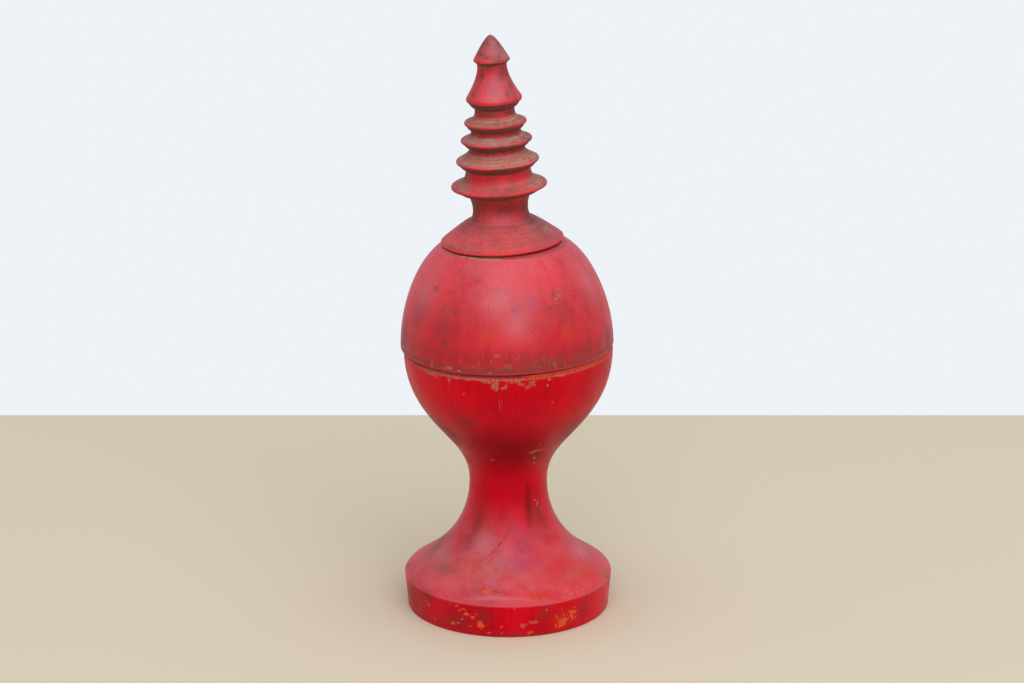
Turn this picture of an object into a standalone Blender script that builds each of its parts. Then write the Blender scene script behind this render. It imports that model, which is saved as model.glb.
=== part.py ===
"""Turned wooden pedestal box: a bowl on a foot, a lift-off domed lid and a ringed finial glued into the lid.

Units are metres and +Z is up. The origin is the centre of the foot's underside.
Every piece is turned, so each one is a profile of (radius, height) points spun about its own axis.
The old wood has moved: the rim is out of level, the lid follows it, and the finial leans further still.
"""

import math

import bmesh
import bpy

MM = 0.001

# Foot and stem
FOOT_RADIUS = 35.4 * MM             # at the upper edge of the foot's side, its widest place
FOOT_TAPER = 1.1 * MM               # how much narrower the foot's side is at the bottom
FOOT_SIDE_HEIGHT = 12.5 * MM
FOOT_EDGE_ROUND = 2.8 * MM          # width of the worn round, measured up the foot's top
FOOT_EDGE_DROP = 1.2 * MM           # and how far it reaches down the side
FOOT_TOP_SLOPE = math.radians(34.5)  # slope of the foot's top just inside the round
STEM_RADIUS = 13.2 * MM             # at the waist
STEM_WAIST_HEIGHT = 44.8 * MM
FOOT_EDGE_PULL = 0.13               # curve handles, as shares of the height from foot edge to waist
FOOT_WAIST_PULL = 0.62

# Bowl
RIM_RADIUS = 35.3 * MM
RIM_HEIGHT = 92.1 * MM
RIM_TILT = math.radians(1.4)        # the rim is lower at -X
RIM_TILT_DEPTH = 26.0 * MM          # the tilt dies away over this depth below the rim
BOWL_WAIST_PULL = 0.365             # curve handles, as shares of the height from waist to rim
BOWL_RIM_PULL = 0.545
BOWL_RIM_DRAFT = math.radians(1.3)  # how far the bowl still opens at its rim
BOWL_FLOOR_RISE = 17.3 * MM         # from the stem's waist up to the hollow's floor
HOLLOW_FULLNESS = 2.5               # 2 is an ellipse, and more is squarer
SEAT_WIDTH = 4.6 * MM               # flat and chamfer of the rim, outside the spigot
SPIGOT_THICKNESS = 2.4 * MM
SPIGOT_HEIGHT = 5.5 * MM

# The V-groove where lid and bowl meet
GROOVE_DEPTH = 1.1 * MM
RIM_CHAMFER_HEIGHT = 0.9 * MM
LID_CHAMFER_HEIGHT = 0.6 * MM

# Lid
LID_OVERHANG = 0.6 * MM             # how far the lid's edge stands out past the rim
LID_SHIFT = 0.35 * MM               # the lid sits this far towards -X on the spigot
DOME_HEIGHT = 35.8 * MM             # from the lid's lower edge to its crown
DOME_EDGE_PULL = 0.40               # curve handles, as shares of the dome's height
DOME_CROWN_PULL = 0.30
DOME_CROWN_SLOPE = math.radians(26.5)
CROWN_THICKNESS = 9.8 * MM
LID_WALL_STEP = 1.8 * MM            # ledge above the spigot's recess
SPIGOT_CLEARANCE = 0.6 * MM         # radial, so that the lid lifts off by hand
SPIGOT_HEADROOM = 0.8 * MM

# Finial
FLANGE_RADIUS = 20.5 * MM
FLANGE_OVERHANG = 0.8 * MM          # how far the flange stands out past the lid's crown
FLANGE_EDGE = 0.6 * MM
FLANGE_HEIGHT = 7.4 * MM
FLANGE_SWEEP = 2.5 * MM             # how far out its top turns down from the neck
NECK_RADIUS = 9.8 * MM
NECK_WAIST_RADIUS = 9.2 * MM
FINIAL_OFFSET = 0.7 * MM            # its hole was drilled this far off the crown's centre, towards -X
FINIAL_LEAN = math.radians(1.8)     # and this far out of square, on top of the lid's own tilt
TENON_RADIUS = 5.0 * MM
TENON_LENGTH = 9.0 * MM
TENON_CLEARANCE = 0.3 * MM
RING_EDGE = 0.9 * MM                # thickness of each ring's rim
BELL_RADIUS = 9.1 * MM
BELL_HEIGHT = 48.5 * MM             # heights on the finial are from the flange's underside
BELL_UNDERCUT = 3.5 * MM
BELL_TOP_RADIUS = 5.0 * MM
BELL_HOLLOW = 0.6 * MM              # how far its side sags inside its top's radius
BELL_BEND = 0.6                     # height of the bend in its side, as a share of its height
TIP_RADIUS = 6.05 * MM
TIP_HEIGHT = 61.6 * MM
TIP_UNDERCUT = 0.95 * MM
TIP_LENGTH = 8.6 * MM
TIP_BLUNTNESS = 1.65 * MM           # radius at which the tip's curve would reach its top


class Ring:
    """One disc turned on the finial's shaft: its rim, the shaft above it, and how the two flow together."""

    def __init__(self, radius, height, core, undercut, rise):
        self.radius = radius * MM
        self.height = height * MM       # of the rim's middle
        self.core = core * MM           # shaft radius above the ring
        self.undercut = undercut * MM   # depth of the cone below the rim
        self.rise = rise * MM           # how far the top rises before it meets the shaft


RING_BASE_RADIUS = 10.2 * MM        # shaft radius under the lowest ring
RINGS = (
    Ring(radius=15.8, height=19.2, core=10.9, undercut=3.4, rise=0.6),
    Ring(radius=13.6, height=27.8, core=9.3, undercut=3.1, rise=2.2),
    Ring(radius=11.6, height=34.8, core=8.3, undercut=2.8, rise=1.2),
    Ring(radius=10.2, height=40.8, core=6.6, undercut=3.0, rise=0.7),
)

GAP = 0.3 * MM                      # between pieces that touch
FINE_CHAMFER = 0.4 * MM

# Sizes that follow from the ones above
SPIGOT_RADIUS = RIM_RADIUS - SEAT_WIDTH
HOLLOW_RADIUS = SPIGOT_RADIUS - SPIGOT_THICKNESS
RECESS_RADIUS = SPIGOT_RADIUS + SPIGOT_CLEARANCE
RIGID_DEPTH = RIM_CHAMFER_HEIGHT + FINE_CHAMFER  # the rim down to here tilts as one rigid piece

# Facets: steps around each spin, and points along each curve
BODY_SEGMENTS = 48
FINIAL_SEGMENTS = 40
EDGE_POINTS = 3
FOOT_POINTS = 11
BOWL_POINTS = 14
DOME_POINTS = 14
HOLLOW_POINTS = 10
FLANGE_POINTS = 6
NECK_POINTS = 3
RING_POINTS = 4
BELL_POINTS = 5
TIP_POINTS = 7
MERGE_DISTANCE = 0.001 * MM
SMOOTH_LIMIT = math.radians(35)


def bezier(points, count):
    """Points along a quadratic or cubic Bezier curve, leaving out its first point."""
    degree = len(points) - 1
    curve = []
    for step in range(1, count + 1):
        t = step / count
        weights = [math.comb(degree, k) * (1 - t) ** (degree - k) * t**k for k in range(degree + 1)]
        curve.append(tuple(sum(w * p[axis] for w, p in zip(weights, points)) for axis in (0, 1)))
    return curve


def hollow_curve(mouth_radius, mouth_height, floor_height):
    """A rounded hollow from its mouth to its centre, as a quarter of a superellipse."""
    curve = []
    for step in range(HOLLOW_POINTS + 1):
        angle = math.pi / 2 * step / HOLLOW_POINTS
        radius = mouth_radius * math.cos(angle) ** (2 / HOLLOW_FULLNESS)
        depth = (mouth_height - floor_height) * math.sin(angle) ** (2 / HOLLOW_FULLNESS)
        curve.append((radius if step < HOLLOW_POINTS else 0.0, mouth_height - depth))
    return curve


def spin_profile(name, profile, segments):
    """Spins (radius, height) points about Z into one closed mesh, and returns its object.

    The profile starts and ends on the axis, or is closed by one more edge if it starts off it."""
    bm = bmesh.new()
    verts = [bm.verts.new((radius, 0.0, height)) for radius, height in profile]
    edges = [bm.edges.new(pair) for pair in zip(verts, verts[1:])]
    if profile[0][0] > 0.0:
        edges.append(bm.edges.new((verts[-1], verts[0])))
    bmesh.ops.spin(bm, geom=verts + edges, cent=(0, 0, 0), axis=(0, 0, 1), angle=2 * math.pi,
                   steps=segments, use_merge=True)
    bmesh.ops.remove_doubles(bm, verts=bm.verts, dist=MERGE_DISTANCE)
    bmesh.ops.recalc_face_normals(bm, faces=bm.faces)
    mesh = bpy.data.meshes.new(name)
    bm.to_mesh(mesh)
    bm.free()
    mesh.shade_smooth()
    mesh.set_sharp_from_angle(angle=SMOOTH_LIMIT)
    obj = bpy.data.objects.new(name, mesh)
    bpy.context.scene.collection.objects.link(obj)
    return obj


def lacquer(name, colour, roughness):
    """An opaque lacquer over wood."""
    material = bpy.data.materials.new(name)
    material.use_nodes = True
    shader = material.node_tree.nodes["Principled BSDF"]
    shader.inputs["Base Color"].default_value = (*colour, 1.0)
    shader.inputs["Roughness"].default_value = roughness
    shader.inputs["Metallic"].default_value = 0.0
    return material


def tilt_rim(mesh):
    """Turns the bowl's top about the rim's centre, fading out below it, as warped wood does."""
    for vertex in mesh.vertices:
        height = vertex.co.z - RIM_HEIGHT
        share = min(max(1.0 + (height + RIGID_DEPTH) / RIM_TILT_DEPTH, 0.0), 1.0)
        angle = RIM_TILT * share * share * (3 - 2 * share)
        x = vertex.co.x
        vertex.co.x = x * math.cos(angle) - height * math.sin(angle)
        vertex.co.z = RIM_HEIGHT + x * math.sin(angle) + height * math.cos(angle)


def make_pedestal_bowl():
    """Foot, stem and bowl, turned from one block, with the spigot that locates the lid."""
    corner = (FOOT_RADIUS - FOOT_EDGE_ROUND * math.cos(FOOT_TOP_SLOPE),
              FOOT_SIDE_HEIGHT + FOOT_EDGE_ROUND * math.sin(FOOT_TOP_SLOPE))
    below_corner = (FOOT_RADIUS, FOOT_SIDE_HEIGHT - FOOT_EDGE_DROP)
    foot_span = STEM_WAIST_HEIGHT - FOOT_SIDE_HEIGHT
    foot_handle = FOOT_EDGE_PULL * foot_span
    waist = (STEM_RADIUS, STEM_WAIST_HEIGHT)

    shoulder = (RIM_RADIUS, RIM_HEIGHT - RIM_CHAMFER_HEIGHT)
    bowl_span = shoulder[1] - waist[1]
    bowl_handle = BOWL_RIM_PULL * bowl_span
    spigot_top = RIM_HEIGHT + SPIGOT_HEIGHT

    profile = [(0.0, 0.0), (FOOT_RADIUS - FOOT_TAPER - FINE_CHAMFER, 0.0),
               (FOOT_RADIUS - FOOT_TAPER, FINE_CHAMFER), below_corner]
    profile += bezier([below_corner, (FOOT_RADIUS, FOOT_SIDE_HEIGHT), corner], EDGE_POINTS)
    profile += bezier([corner,
                       (corner[0] - foot_handle * math.cos(FOOT_TOP_SLOPE),
                        corner[1] + foot_handle * math.sin(FOOT_TOP_SLOPE)),
                       (waist[0], waist[1] - FOOT_WAIST_PULL * foot_span), waist], FOOT_POINTS)
    profile += bezier([waist, (waist[0], waist[1] + BOWL_WAIST_PULL * bowl_span),
                       (shoulder[0] - bowl_handle * math.sin(BOWL_RIM_DRAFT),
                        shoulder[1] - bowl_handle * math.cos(BOWL_RIM_DRAFT)), shoulder],
                      BOWL_POINTS)
    profile += [(RIM_RADIUS - GROOVE_DEPTH, RIM_HEIGHT), (SPIGOT_RADIUS, RIM_HEIGHT),
                (SPIGOT_RADIUS, spigot_top - FINE_CHAMFER), (SPIGOT_RADIUS - FINE_CHAMFER, spigot_top)]
    profile += hollow_curve(HOLLOW_RADIUS, spigot_top, STEM_WAIST_HEIGHT + BOWL_FLOOR_RISE)

    bowl = spin_profile("pedestal_bowl", profile, BODY_SEGMENTS)
    tilt_rim(bowl.data)
    bowl.data.materials.append(lacquer("bowl_lacquer", (0.56, 0.012, 0.014), 0.38))
    return bowl


def make_lid_dome():
    """The hollow lid. Its origin is on its own axis, level with the rim that it rests on."""
    edge = (RIM_RADIUS + LID_OVERHANG, GAP + LID_CHAMFER_HEIGHT)
    crown = (FLANGE_RADIUS - FLANGE_OVERHANG, edge[1] + DOME_HEIGHT)
    crown_handle = DOME_CROWN_PULL * DOME_HEIGHT
    ceiling = crown[1] - CROWN_THICKNESS
    recess_top = SPIGOT_HEIGHT + SPIGOT_HEADROOM

    profile = [edge]
    profile += bezier([edge, (edge[0], edge[1] + DOME_EDGE_PULL * DOME_HEIGHT),
                       (crown[0] + crown_handle * math.cos(DOME_CROWN_SLOPE),
                        crown[1] - crown_handle * math.sin(DOME_CROWN_SLOPE)), crown], DOME_POINTS)
    profile += [(0.0, crown[1])]
    inside = hollow_curve(RECESS_RADIUS - LID_WALL_STEP, recess_top, 2 * recess_top - ceiling)
    profile += [(radius, 2 * recess_top - height) for radius, height in reversed(inside)]
    profile += [(RECESS_RADIUS, recess_top), (RECESS_RADIUS, GAP + FINE_CHAMFER),
                (RECESS_RADIUS + FINE_CHAMFER, GAP), (RIM_RADIUS - GROOVE_DEPTH, GAP)]

    lid = spin_profile("lid_dome", profile, BODY_SEGMENTS)
    lid.location = (-LID_SHIFT * math.cos(RIM_TILT), 0.0, RIM_HEIGHT - LID_SHIFT * math.sin(RIM_TILT))
    lid.rotation_euler = (0.0, -RIM_TILT, 0.0)
    lid.data.materials.append(lacquer("lid_lacquer", (0.42, 0.022, 0.028), 0.45))
    return lid, crown[1], ceiling


def ring_profile():
    """Every ring on the shaft, from the lowest up, ending under the bell."""
    profile = []
    shaft = RING_BASE_RADIUS
    for ring, above in zip(RINGS, [*RINGS[1:], None]):
        underside = ring.height - ring.undercut
        next_start = above.height - above.undercut if above else BELL_HEIGHT - BELL_UNDERCUT
        upper_edge = (ring.radius, ring.height + RING_EDGE / 2)
        profile += [(shaft, underside), (ring.radius, ring.height - RING_EDGE / 2), upper_edge]
        profile += bezier([upper_edge, (ring.core, upper_edge[1] + ring.rise), (ring.core, next_start)],
                          RING_POINTS)[:-1]
        shaft = ring.core
    return profile + [(shaft, next_start)]


def make_finial(lid, crown_height):
    """The spire: tenon, flange, neck, rings, bell and tip. Its origin is the middle of the flange's seat."""
    flange_top = (NECK_RADIUS, FLANGE_HEIGHT)
    ring_start = (RING_BASE_RADIUS, RINGS[0].height - RINGS[0].undercut)
    bell_edge = (BELL_RADIUS, BELL_HEIGHT + RING_EDGE / 2)
    bell_top = (BELL_TOP_RADIUS, TIP_HEIGHT - TIP_UNDERCUT)
    bell_bend = (BELL_TOP_RADIUS - BELL_HOLLOW,
                 bell_edge[1] + BELL_BEND * (TIP_HEIGHT - BELL_HEIGHT))
    tip_edge = (TIP_RADIUS, TIP_HEIGHT)
    tip_top = TIP_HEIGHT + TIP_LENGTH

    profile = [(0.0, -TENON_LENGTH), (TENON_RADIUS - FINE_CHAMFER, -TENON_LENGTH),
               (TENON_RADIUS, -TENON_LENGTH + FINE_CHAMFER), (TENON_RADIUS, 0.0),
               (FLANGE_RADIUS, 0.0), (FLANGE_RADIUS, FLANGE_EDGE)]
    profile += bezier([(FLANGE_RADIUS, FLANGE_EDGE), (NECK_RADIUS + FLANGE_SWEEP, FLANGE_HEIGHT), flange_top],
                      FLANGE_POINTS)
    profile += bezier([flange_top, (2 * NECK_WAIST_RADIUS - NECK_RADIUS, (flange_top[1] + ring_start[1]) / 2),
                       ring_start], NECK_POINTS)[:-1]
    profile += ring_profile()
    profile += [(BELL_RADIUS, BELL_HEIGHT - RING_EDGE / 2), bell_edge]
    profile += bezier([bell_edge, bell_bend, bell_top], BELL_POINTS)
    profile += [tip_edge]
    profile += bezier([tip_edge, (TIP_BLUNTNESS, tip_top), (0.0, tip_top)], TIP_POINTS)

    finial = spin_profile("finial", profile, FINIAL_SEGMENTS)
    finial.parent = lid
    finial.location = (-FINIAL_OFFSET, 0.0, crown_height + GAP)
    finial.rotation_euler = (0.0, -FINIAL_LEAN, 0.0)
    finial.data.materials.append(lacquer("finial_lacquer", (0.40, 0.020, 0.026), 0.45))
    return finial


def drill_crown(lid, finial, crown_height, ceiling):
    """Bores the tenon's hole through the crown and faces the crown off, both square to the finial."""
    seat = -GAP
    hole_radius = TENON_RADIUS + TENON_CLEARANCE
    reach = crown_height - ceiling + TENON_LENGTH
    facing_radius = FLANGE_RADIUS + FLANGE_OVERHANG
    profile = [(0.0, -reach), (hole_radius, -reach), (hole_radius, seat), (facing_radius, seat),
               (facing_radius, FLANGE_HEIGHT), (0.0, FLANGE_HEIGHT)]
    cutter = spin_profile("crown_cutter", profile, FINIAL_SEGMENTS)
    cutter.parent = lid
    cutter.location = finial.location
    cutter.rotation_euler = finial.rotation_euler
    cutter.hide_render = True
    cutter.display_type = "WIRE"
    cut = lid.modifiers.new("crown_seat", "BOOLEAN")
    cut.operation = "DIFFERENCE"
    cut.solver = "EXACT"
    cut.object = cutter


def main():
    for obj in list(bpy.data.objects):
        bpy.data.objects.remove(obj)
    make_pedestal_bowl()
    lid, crown_height, ceiling = make_lid_dome()
    finial = make_finial(lid, crown_height)
    drill_crown(lid, finial, crown_height, ceiling)


main()
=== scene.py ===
"""The looks of a turned wooden pedestal box with a lift-off lid: old red lacquer, worn, dusty and chipped.

Units are metres and +Z is up. An azimuth is in degrees from the front (-Y) and grows towards the right (+X).
Each piece is drawn as half a profile, turned into a solid, set leaning as the old wood does, and then aged,
with painted shade and highlights laid into its colour.
"""

import math
import random
from collections import namedtuple

import bpy
import numpy as np
from mathutils import Matrix, Vector


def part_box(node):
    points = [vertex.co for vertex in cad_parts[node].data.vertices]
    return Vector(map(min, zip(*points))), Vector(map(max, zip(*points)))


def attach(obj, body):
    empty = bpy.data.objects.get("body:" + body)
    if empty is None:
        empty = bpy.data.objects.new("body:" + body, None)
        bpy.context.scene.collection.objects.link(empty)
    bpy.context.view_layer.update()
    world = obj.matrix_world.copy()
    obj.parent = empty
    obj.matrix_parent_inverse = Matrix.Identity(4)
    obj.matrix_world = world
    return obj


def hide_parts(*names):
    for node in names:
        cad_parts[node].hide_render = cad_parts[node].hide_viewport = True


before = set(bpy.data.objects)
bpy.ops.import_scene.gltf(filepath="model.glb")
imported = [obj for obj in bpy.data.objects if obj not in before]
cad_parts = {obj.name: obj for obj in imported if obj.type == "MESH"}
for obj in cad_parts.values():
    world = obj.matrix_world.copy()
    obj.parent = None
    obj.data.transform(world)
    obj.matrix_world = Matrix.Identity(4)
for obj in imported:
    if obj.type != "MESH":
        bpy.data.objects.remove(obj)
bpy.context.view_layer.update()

bl_info = {
    "name": "Turned Pedestal Box",
    "version": (1, 0, 0),
    "blender": (4, 5, 0),
    "location": "3D View > Sidebar > Pedestal Box",
    "description": "Turns a lacquered wooden box with a foot, a domed lid and a ringed finial",
    "category": "Add Mesh",
}

MM = 0.001
MERGE_DISTANCE = 0.001 * MM
SMOOTH_LIMIT = math.radians(40)


# ---------------------------------------------------------------- properties

def length(name, millimetres, description):
    return bpy.props.FloatProperty(name=name, description=description, default=millimetres * MM,
                                   min=0.0, precision=4, unit="LENGTH")


def angle(name, degrees, description):
    return bpy.props.FloatProperty(name=name, description=description, default=math.radians(degrees),
                                   subtype="ANGLE", unit="ROTATION")


def share(name, value, description):
    return bpy.props.FloatProperty(name=name, description=description, default=value, min=0.0, max=1.0,
                                   subtype="FACTOR")


def colour(name, value, description):
    return bpy.props.FloatVectorProperty(name=name, description=description, default=value, size=3,
                                         min=0.0, max=1.0, subtype="COLOR")


class PedestalSizes(bpy.types.PropertyGroup):
    foot_radius: length("Foot radius", 35.4, "At the upper edge of the foot's side, its widest place")
    foot_taper: length("Foot taper", 1.1, "How much narrower the foot's side is at the bottom")
    foot_side_height: length("Foot side height", 12.5, "Height of the foot's upright side")
    foot_edge_round: length("Foot edge round", 2.8, "Width of the worn round, measured up the foot's top")
    foot_edge_drop: length("Foot edge drop", 1.2, "How far the worn round reaches down the side")
    foot_top_slope: angle("Foot top slope", 34.5, "Slope of the foot's top just inside the round")
    foot_edge_pull: share("Foot edge pull", 0.13, "Curve handle at the foot, as a share of its rise")
    foot_waist_pull: share("Foot waist pull", 0.62, "Curve handle below the waist, as a share of the rise")
    stem_radius: length("Stem radius", 13.2, "At the waist")
    stem_waist_height: length("Waist height", 44.8, "Height of the stem's narrowest place")
    rim_radius: length("Rim radius", 35.3, "Outer radius of the bowl's rim")
    rim_height: length("Rim height", 92.1, "Height of the face that the lid rests on")
    rim_tilt: angle("Rim tilt", 1.4, "How far the old rim has sunk towards the left")
    rim_tilt_depth: length("Rim tilt depth", 26.0, "The tilt dies away over this depth below the rim")
    bowl_waist_pull: share("Bowl waist pull", 0.365, "Curve handle above the waist, as a share of the bowl")
    bowl_rim_pull: share("Bowl rim pull", 0.545, "Curve handle below the rim, as a share of the bowl")
    bowl_rim_draft: angle("Bowl rim draft", 1.3, "How far the bowl still opens at its rim")
    bowl_floor_rise: length("Bowl floor rise", 17.3, "From the waist up to the hollow's floor")
    seat_width: length("Seat width", 4.6, "Flat and chamfer of the rim, outside the spigot")
    spigot_thickness: length("Spigot thickness", 2.4, "Wall of the ring that locates the lid")
    spigot_height: length("Spigot height", 5.5, "How far that ring stands above the rim")
    groove_depth: length("Groove depth", 1.1, "Depth of the V-groove where lid and bowl meet")
    rim_chamfer_height: length("Rim chamfer height", 0.9, "Lower side of the V-groove")


class LidSizes(bpy.types.PropertyGroup):
    overhang: length("Overhang", 0.6, "How far the lid's edge stands out past the rim")
    shift: length("Shift", 0.35, "The lid sits this far to the left on the spigot")
    chamfer_height: length("Chamfer height", 0.6, "Upper side of the V-groove")
    dome_height: length("Dome height", 35.8, "From the lid's lower edge to its crown")
    edge_pull: share("Edge pull", 0.40, "Curve handle above the edge, as a share of the dome's height")
    crown_pull: share("Crown pull", 0.30, "Curve handle beside the crown, as a share of the dome's height")
    crown_slope: angle("Crown slope", 26.5, "Slope of the dome where it meets the crown")
    crown_thickness: length("Crown thickness", 9.8, "Wood left above the hollow")
    wall_step: length("Wall step", 1.8, "Ledge above the spigot's recess")
    spigot_clearance: length("Spigot clearance", 0.6, "Radial play, so that the lid lifts off by hand")
    spigot_headroom: length("Spigot headroom", 0.8, "Play above the spigot")


class FinialSizes(bpy.types.PropertyGroup):
    flange_radius: length("Flange radius", 20.5, "Outer radius of the flange that sits on the crown")
    flange_overhang: length("Flange overhang", 0.8, "How far the flange stands out past the lid's crown")
    flange_edge: length("Flange edge", 0.6, "Thickness of the flange at its lip")
    flange_height: length("Flange height", 7.4, "From the seat up to the neck")
    flange_sweep: length("Flange sweep", 2.5, "How far out the flange's top turns down from the neck")
    neck_radius: length("Neck radius", 9.8, "Where the neck meets the flange")
    neck_waist_radius: length("Neck waist radius", 9.2, "Half-way up the neck")
    neck_fillet: length("Neck fillet", 0.9, "Round between the flange's top and the neck")
    ring_base_radius: length("Ring base radius", 10.2, "Shaft radius under the lowest ring")
    ring_edge: length("Ring edge", 0.9, "Thickness of each ring's rim")
    offset: length("Offset", 0.7, "The finial's hole was drilled this far off the crown's centre")
    lean: angle("Lean", 1.8, "How far out of square it stands, on top of the lid's own tilt")
    tenon_radius: length("Tenon radius", 5.0, "The peg that is glued into the lid")
    tenon_length: length("Tenon length", 9.0, "How deep the peg reaches below the seat")
    tenon_clearance: length("Tenon clearance", 0.3, "Play around the peg")
    bell_radius: length("Bell radius", 9.3, "Rim of the bell above the rings")
    bell_height: length("Bell height", 48.5, "Height of the bell's rim above the seat")
    bell_undercut: length("Bell undercut", 3.5, "Depth of the cone below the bell's rim")
    bell_top_radius: length("Bell top radius", 5.0, "Where the bell meets the tip")
    bell_hollow: length("Bell hollow", 0.6, "How far the bell's side sags inside its top's radius")
    bell_bend: share("Bell bend", 0.6, "Height of the bend in the bell's side, as a share of its height")
    tip_radius: length("Tip radius", 6.2, "Widest place of the tip")
    tip_height: length("Tip height", 61.6, "Height of the tip's widest place above the seat")
    tip_undercut: length("Tip undercut", 0.95, "Depth of the step below the tip")
    tip_length: length("Tip length", 8.6, "From the tip's widest place to its point")
    tip_bluntness: length("Tip bluntness", 1.65, "Radius at which the tip's curve would reach its top")


class LacquerColours(bpy.types.PropertyGroup):
    bright: colour("Bright red", (0.68, 0.002, 0.014), "Sound lacquer in full light")
    # the deep red is also painted shade round the waist, on the neck and low on the lid, as well as thicker
    # lacquer
    deep: colour("Deep red", (0.255, 0.001, 0.006), "Where the lacquer lies thick")
    orange: colour("Orange red", (0.62, 0.028, 0.006), "Thin lacquer that lets the undercoat through")
    undercoat: colour("Undercoat", (0.80, 0.092, 0.018), "The orange ground under the lacquer")
    wood: colour("Bare wood", (0.41, 0.190, 0.125), "Where the ground has gone too")
    # the grime colour is also painted shade in grooves and hollows, on undersides, and under rims and lips
    grime: colour("Grime", (0.085, 0.034, 0.024), "Old dirt in grooves and along edges")
    dust: colour("Dust", (0.360, 0.200, 0.140), "Brownish dust caught on upward faces")
    pale_dust: colour("Pale dust", (0.520, 0.400, 0.300), "The dust's lighter lines and flecks")
    # the bloom colour is also painted sheen and highlight: on upward faces, on marked places and along worn
    # rims
    bloom: colour("Bloom", (0.580, 0.290, 0.355), "The pale haze of dry old lacquer")
    violet: colour("Violet", (0.310, 0.055, 0.125), "Where the haze lies over thick lacquer")


class StageLook(bpy.types.PropertyGroup):
    floor_colour: colour("Floor", (0.660, 0.570, 0.435), "Plain pale floor")
    backdrop_colour: colour("Backdrop", (0.850, 0.890, 0.925), "What shows beyond the floor")
    floor_reach: length("Floor reach", 2200.0, "How far the floor runs to the left, right and front")
    floor_back: length("Floor back", 200.0, "How far the floor runs behind the object")
    camera_distance: length("Camera distance", 1190.4, "From the object's axis forwards to the camera")
    camera_height: length("Camera height", 467.4, "Above the floor")
    camera_side: length("Camera side", 1.3, "How far the camera stands to the right of the axis")
    camera_pitch: angle("Camera pitch", 17.44, "How far the camera looks down")
    camera_lens: bpy.props.FloatProperty(name="Lens", description="Focal length in millimetres",
                                         default=130.1, subtype="DISTANCE_CAMERA")


# ---------------------------------------------------------------- turning

Ring = namedtuple("Ring", "radius height core undercut rise")

RINGS = (  # millimetres: rim radius, height of its middle, shaft above it, depth of its cone, rise of its top
    Ring(radius=16.1, height=19.2, core=10.9, undercut=3.4, rise=0.6),
    Ring(radius=13.95, height=27.8, core=9.3, undercut=3.1, rise=2.2),
    Ring(radius=12.0, height=34.8, core=8.3, undercut=2.8, rise=1.2),
    Ring(radius=10.5, height=40.8, core=6.6, undercut=3.0, rise=0.7),
)

GAP = 0.3 * MM                      # between pieces that touch
FINE_ROUND = 0.5 * MM
LIP_OUT = 0.54                      # the lip under a rim, as shares of the way out and up from the shaft
LIP_UP = 0.52
LIP_ROUND = 0.2 * MM
RIM_ROUND = 0.35 * MM               # worn edge of the bowl's rim
LID_EDGE_ROUND = 0.3 * MM
RIM_ROUND_SLANT = 0.7               # where the worn edge meets the V-groove, as a share of its round
LID_ROUND_SLANT = 0.35
RIGID_BELOW_RIM = 0.4 * MM          # the rim down to here tilts as one rigid piece
HOLLOW_FULLNESS = 2.5               # 2 is an ellipse, and more is squarer
HOLLOW_POINTS = 36

PEDESTAL_STEPS = 300                # around each turned piece
LID_STEPS = 320
FINIAL_STEPS = 240
SHOW_SPACING = 0.55 * MM            # between profile points on surfaces that show
FINE_SPACING = 0.38 * MM
EDGE_SPACING = 0.16 * MM            # round rims and edges
PLAIN_SPACING = 3.0 * MM            # on flat faces that are seldom seen


class Pen:
    """Draws the half profile of a turned piece, as (radius, height) points."""

    def __init__(self, radius, height):
        self.points = [(radius, height)]

    def curve(self, *controls, spacing=SHOW_SPACING):
        """Goes on along a Bezier curve through its control points to the last of them."""
        corners = [self.points[-1], *controls]
        reach = sum(math.dist(a, b) for a, b in zip(corners, corners[1:]))
        count = max(1, math.ceil(reach / spacing))
        degree = len(controls)
        for step in range(1, count + 1):
            t = step / count
            weights = [math.comb(degree, k) * (1 - t) ** (degree - k) * t**k for k in range(degree + 1)]
            self.points.append(tuple(sum(w * p[axis] for w, p in zip(weights, corners)) for axis in (0, 1)))

    def line(self, radius, height, spacing=SHOW_SPACING):
        self.curve((radius, height), spacing=spacing)

    def corner(self, corner, end, size=FINE_ROUND, spacing=EDGE_SPACING, run=SHOW_SPACING):
        """Runs straight to a corner, rounds it, and runs on to the end."""
        start = Vector(self.points[-1])
        middle, last = Vector(corner), Vector(end)
        before = middle + (start - middle).normalized() * size
        after = middle + (last - middle).normalized() * size
        self.line(*before, spacing=run)
        self.curve(tuple(middle), tuple(after), spacing=spacing)
        self.line(*last, spacing=run)

    def undercut(self, rim_radius, rim_height):
        """From the shaft out to a rim: hollow first, with a worn lip part of the way."""
        radius, height = self.points[-1]
        lip = (radius + LIP_OUT * (rim_radius - radius), height + LIP_UP * (rim_height - height))
        below = lip[1] - LIP_ROUND
        self.curve((radius, below), (lip[0] - LIP_ROUND, below), spacing=FINE_SPACING)
        self.corner(lip, (rim_radius, rim_height), size=LIP_ROUND, run=FINE_SPACING)

    def hollow(self, mouth_radius, mouth_height, floor_height):
        """A rounded hollow from its mouth to the axis, as a quarter of a superellipse."""
        for step in range(HOLLOW_POINTS + 1):
            turn = math.pi / 2 * step / HOLLOW_POINTS
            radius = mouth_radius * math.cos(turn) ** (2 / HOLLOW_FULLNESS)
            depth = (mouth_height - floor_height) * math.sin(turn) ** (2 / HOLLOW_FULLNESS)
            self.points.append((radius if step < HOLLOW_POINTS else 0.0, mouth_height - depth))


def pick(piece):
    """Makes a piece the one that operators act on."""
    bpy.ops.object.select_all(action="DESELECT")
    piece.select_set(True)
    bpy.context.view_layer.objects.active = piece


def apply_modifier(piece, kind, **settings):
    pick(piece)
    bpy.ops.object.modifier_add(type=kind)
    modifier = piece.modifiers[-1]
    for name, value in settings.items():
        setattr(modifier, name, value)
    bpy.ops.object.modifier_apply(modifier=modifier.name)


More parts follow.
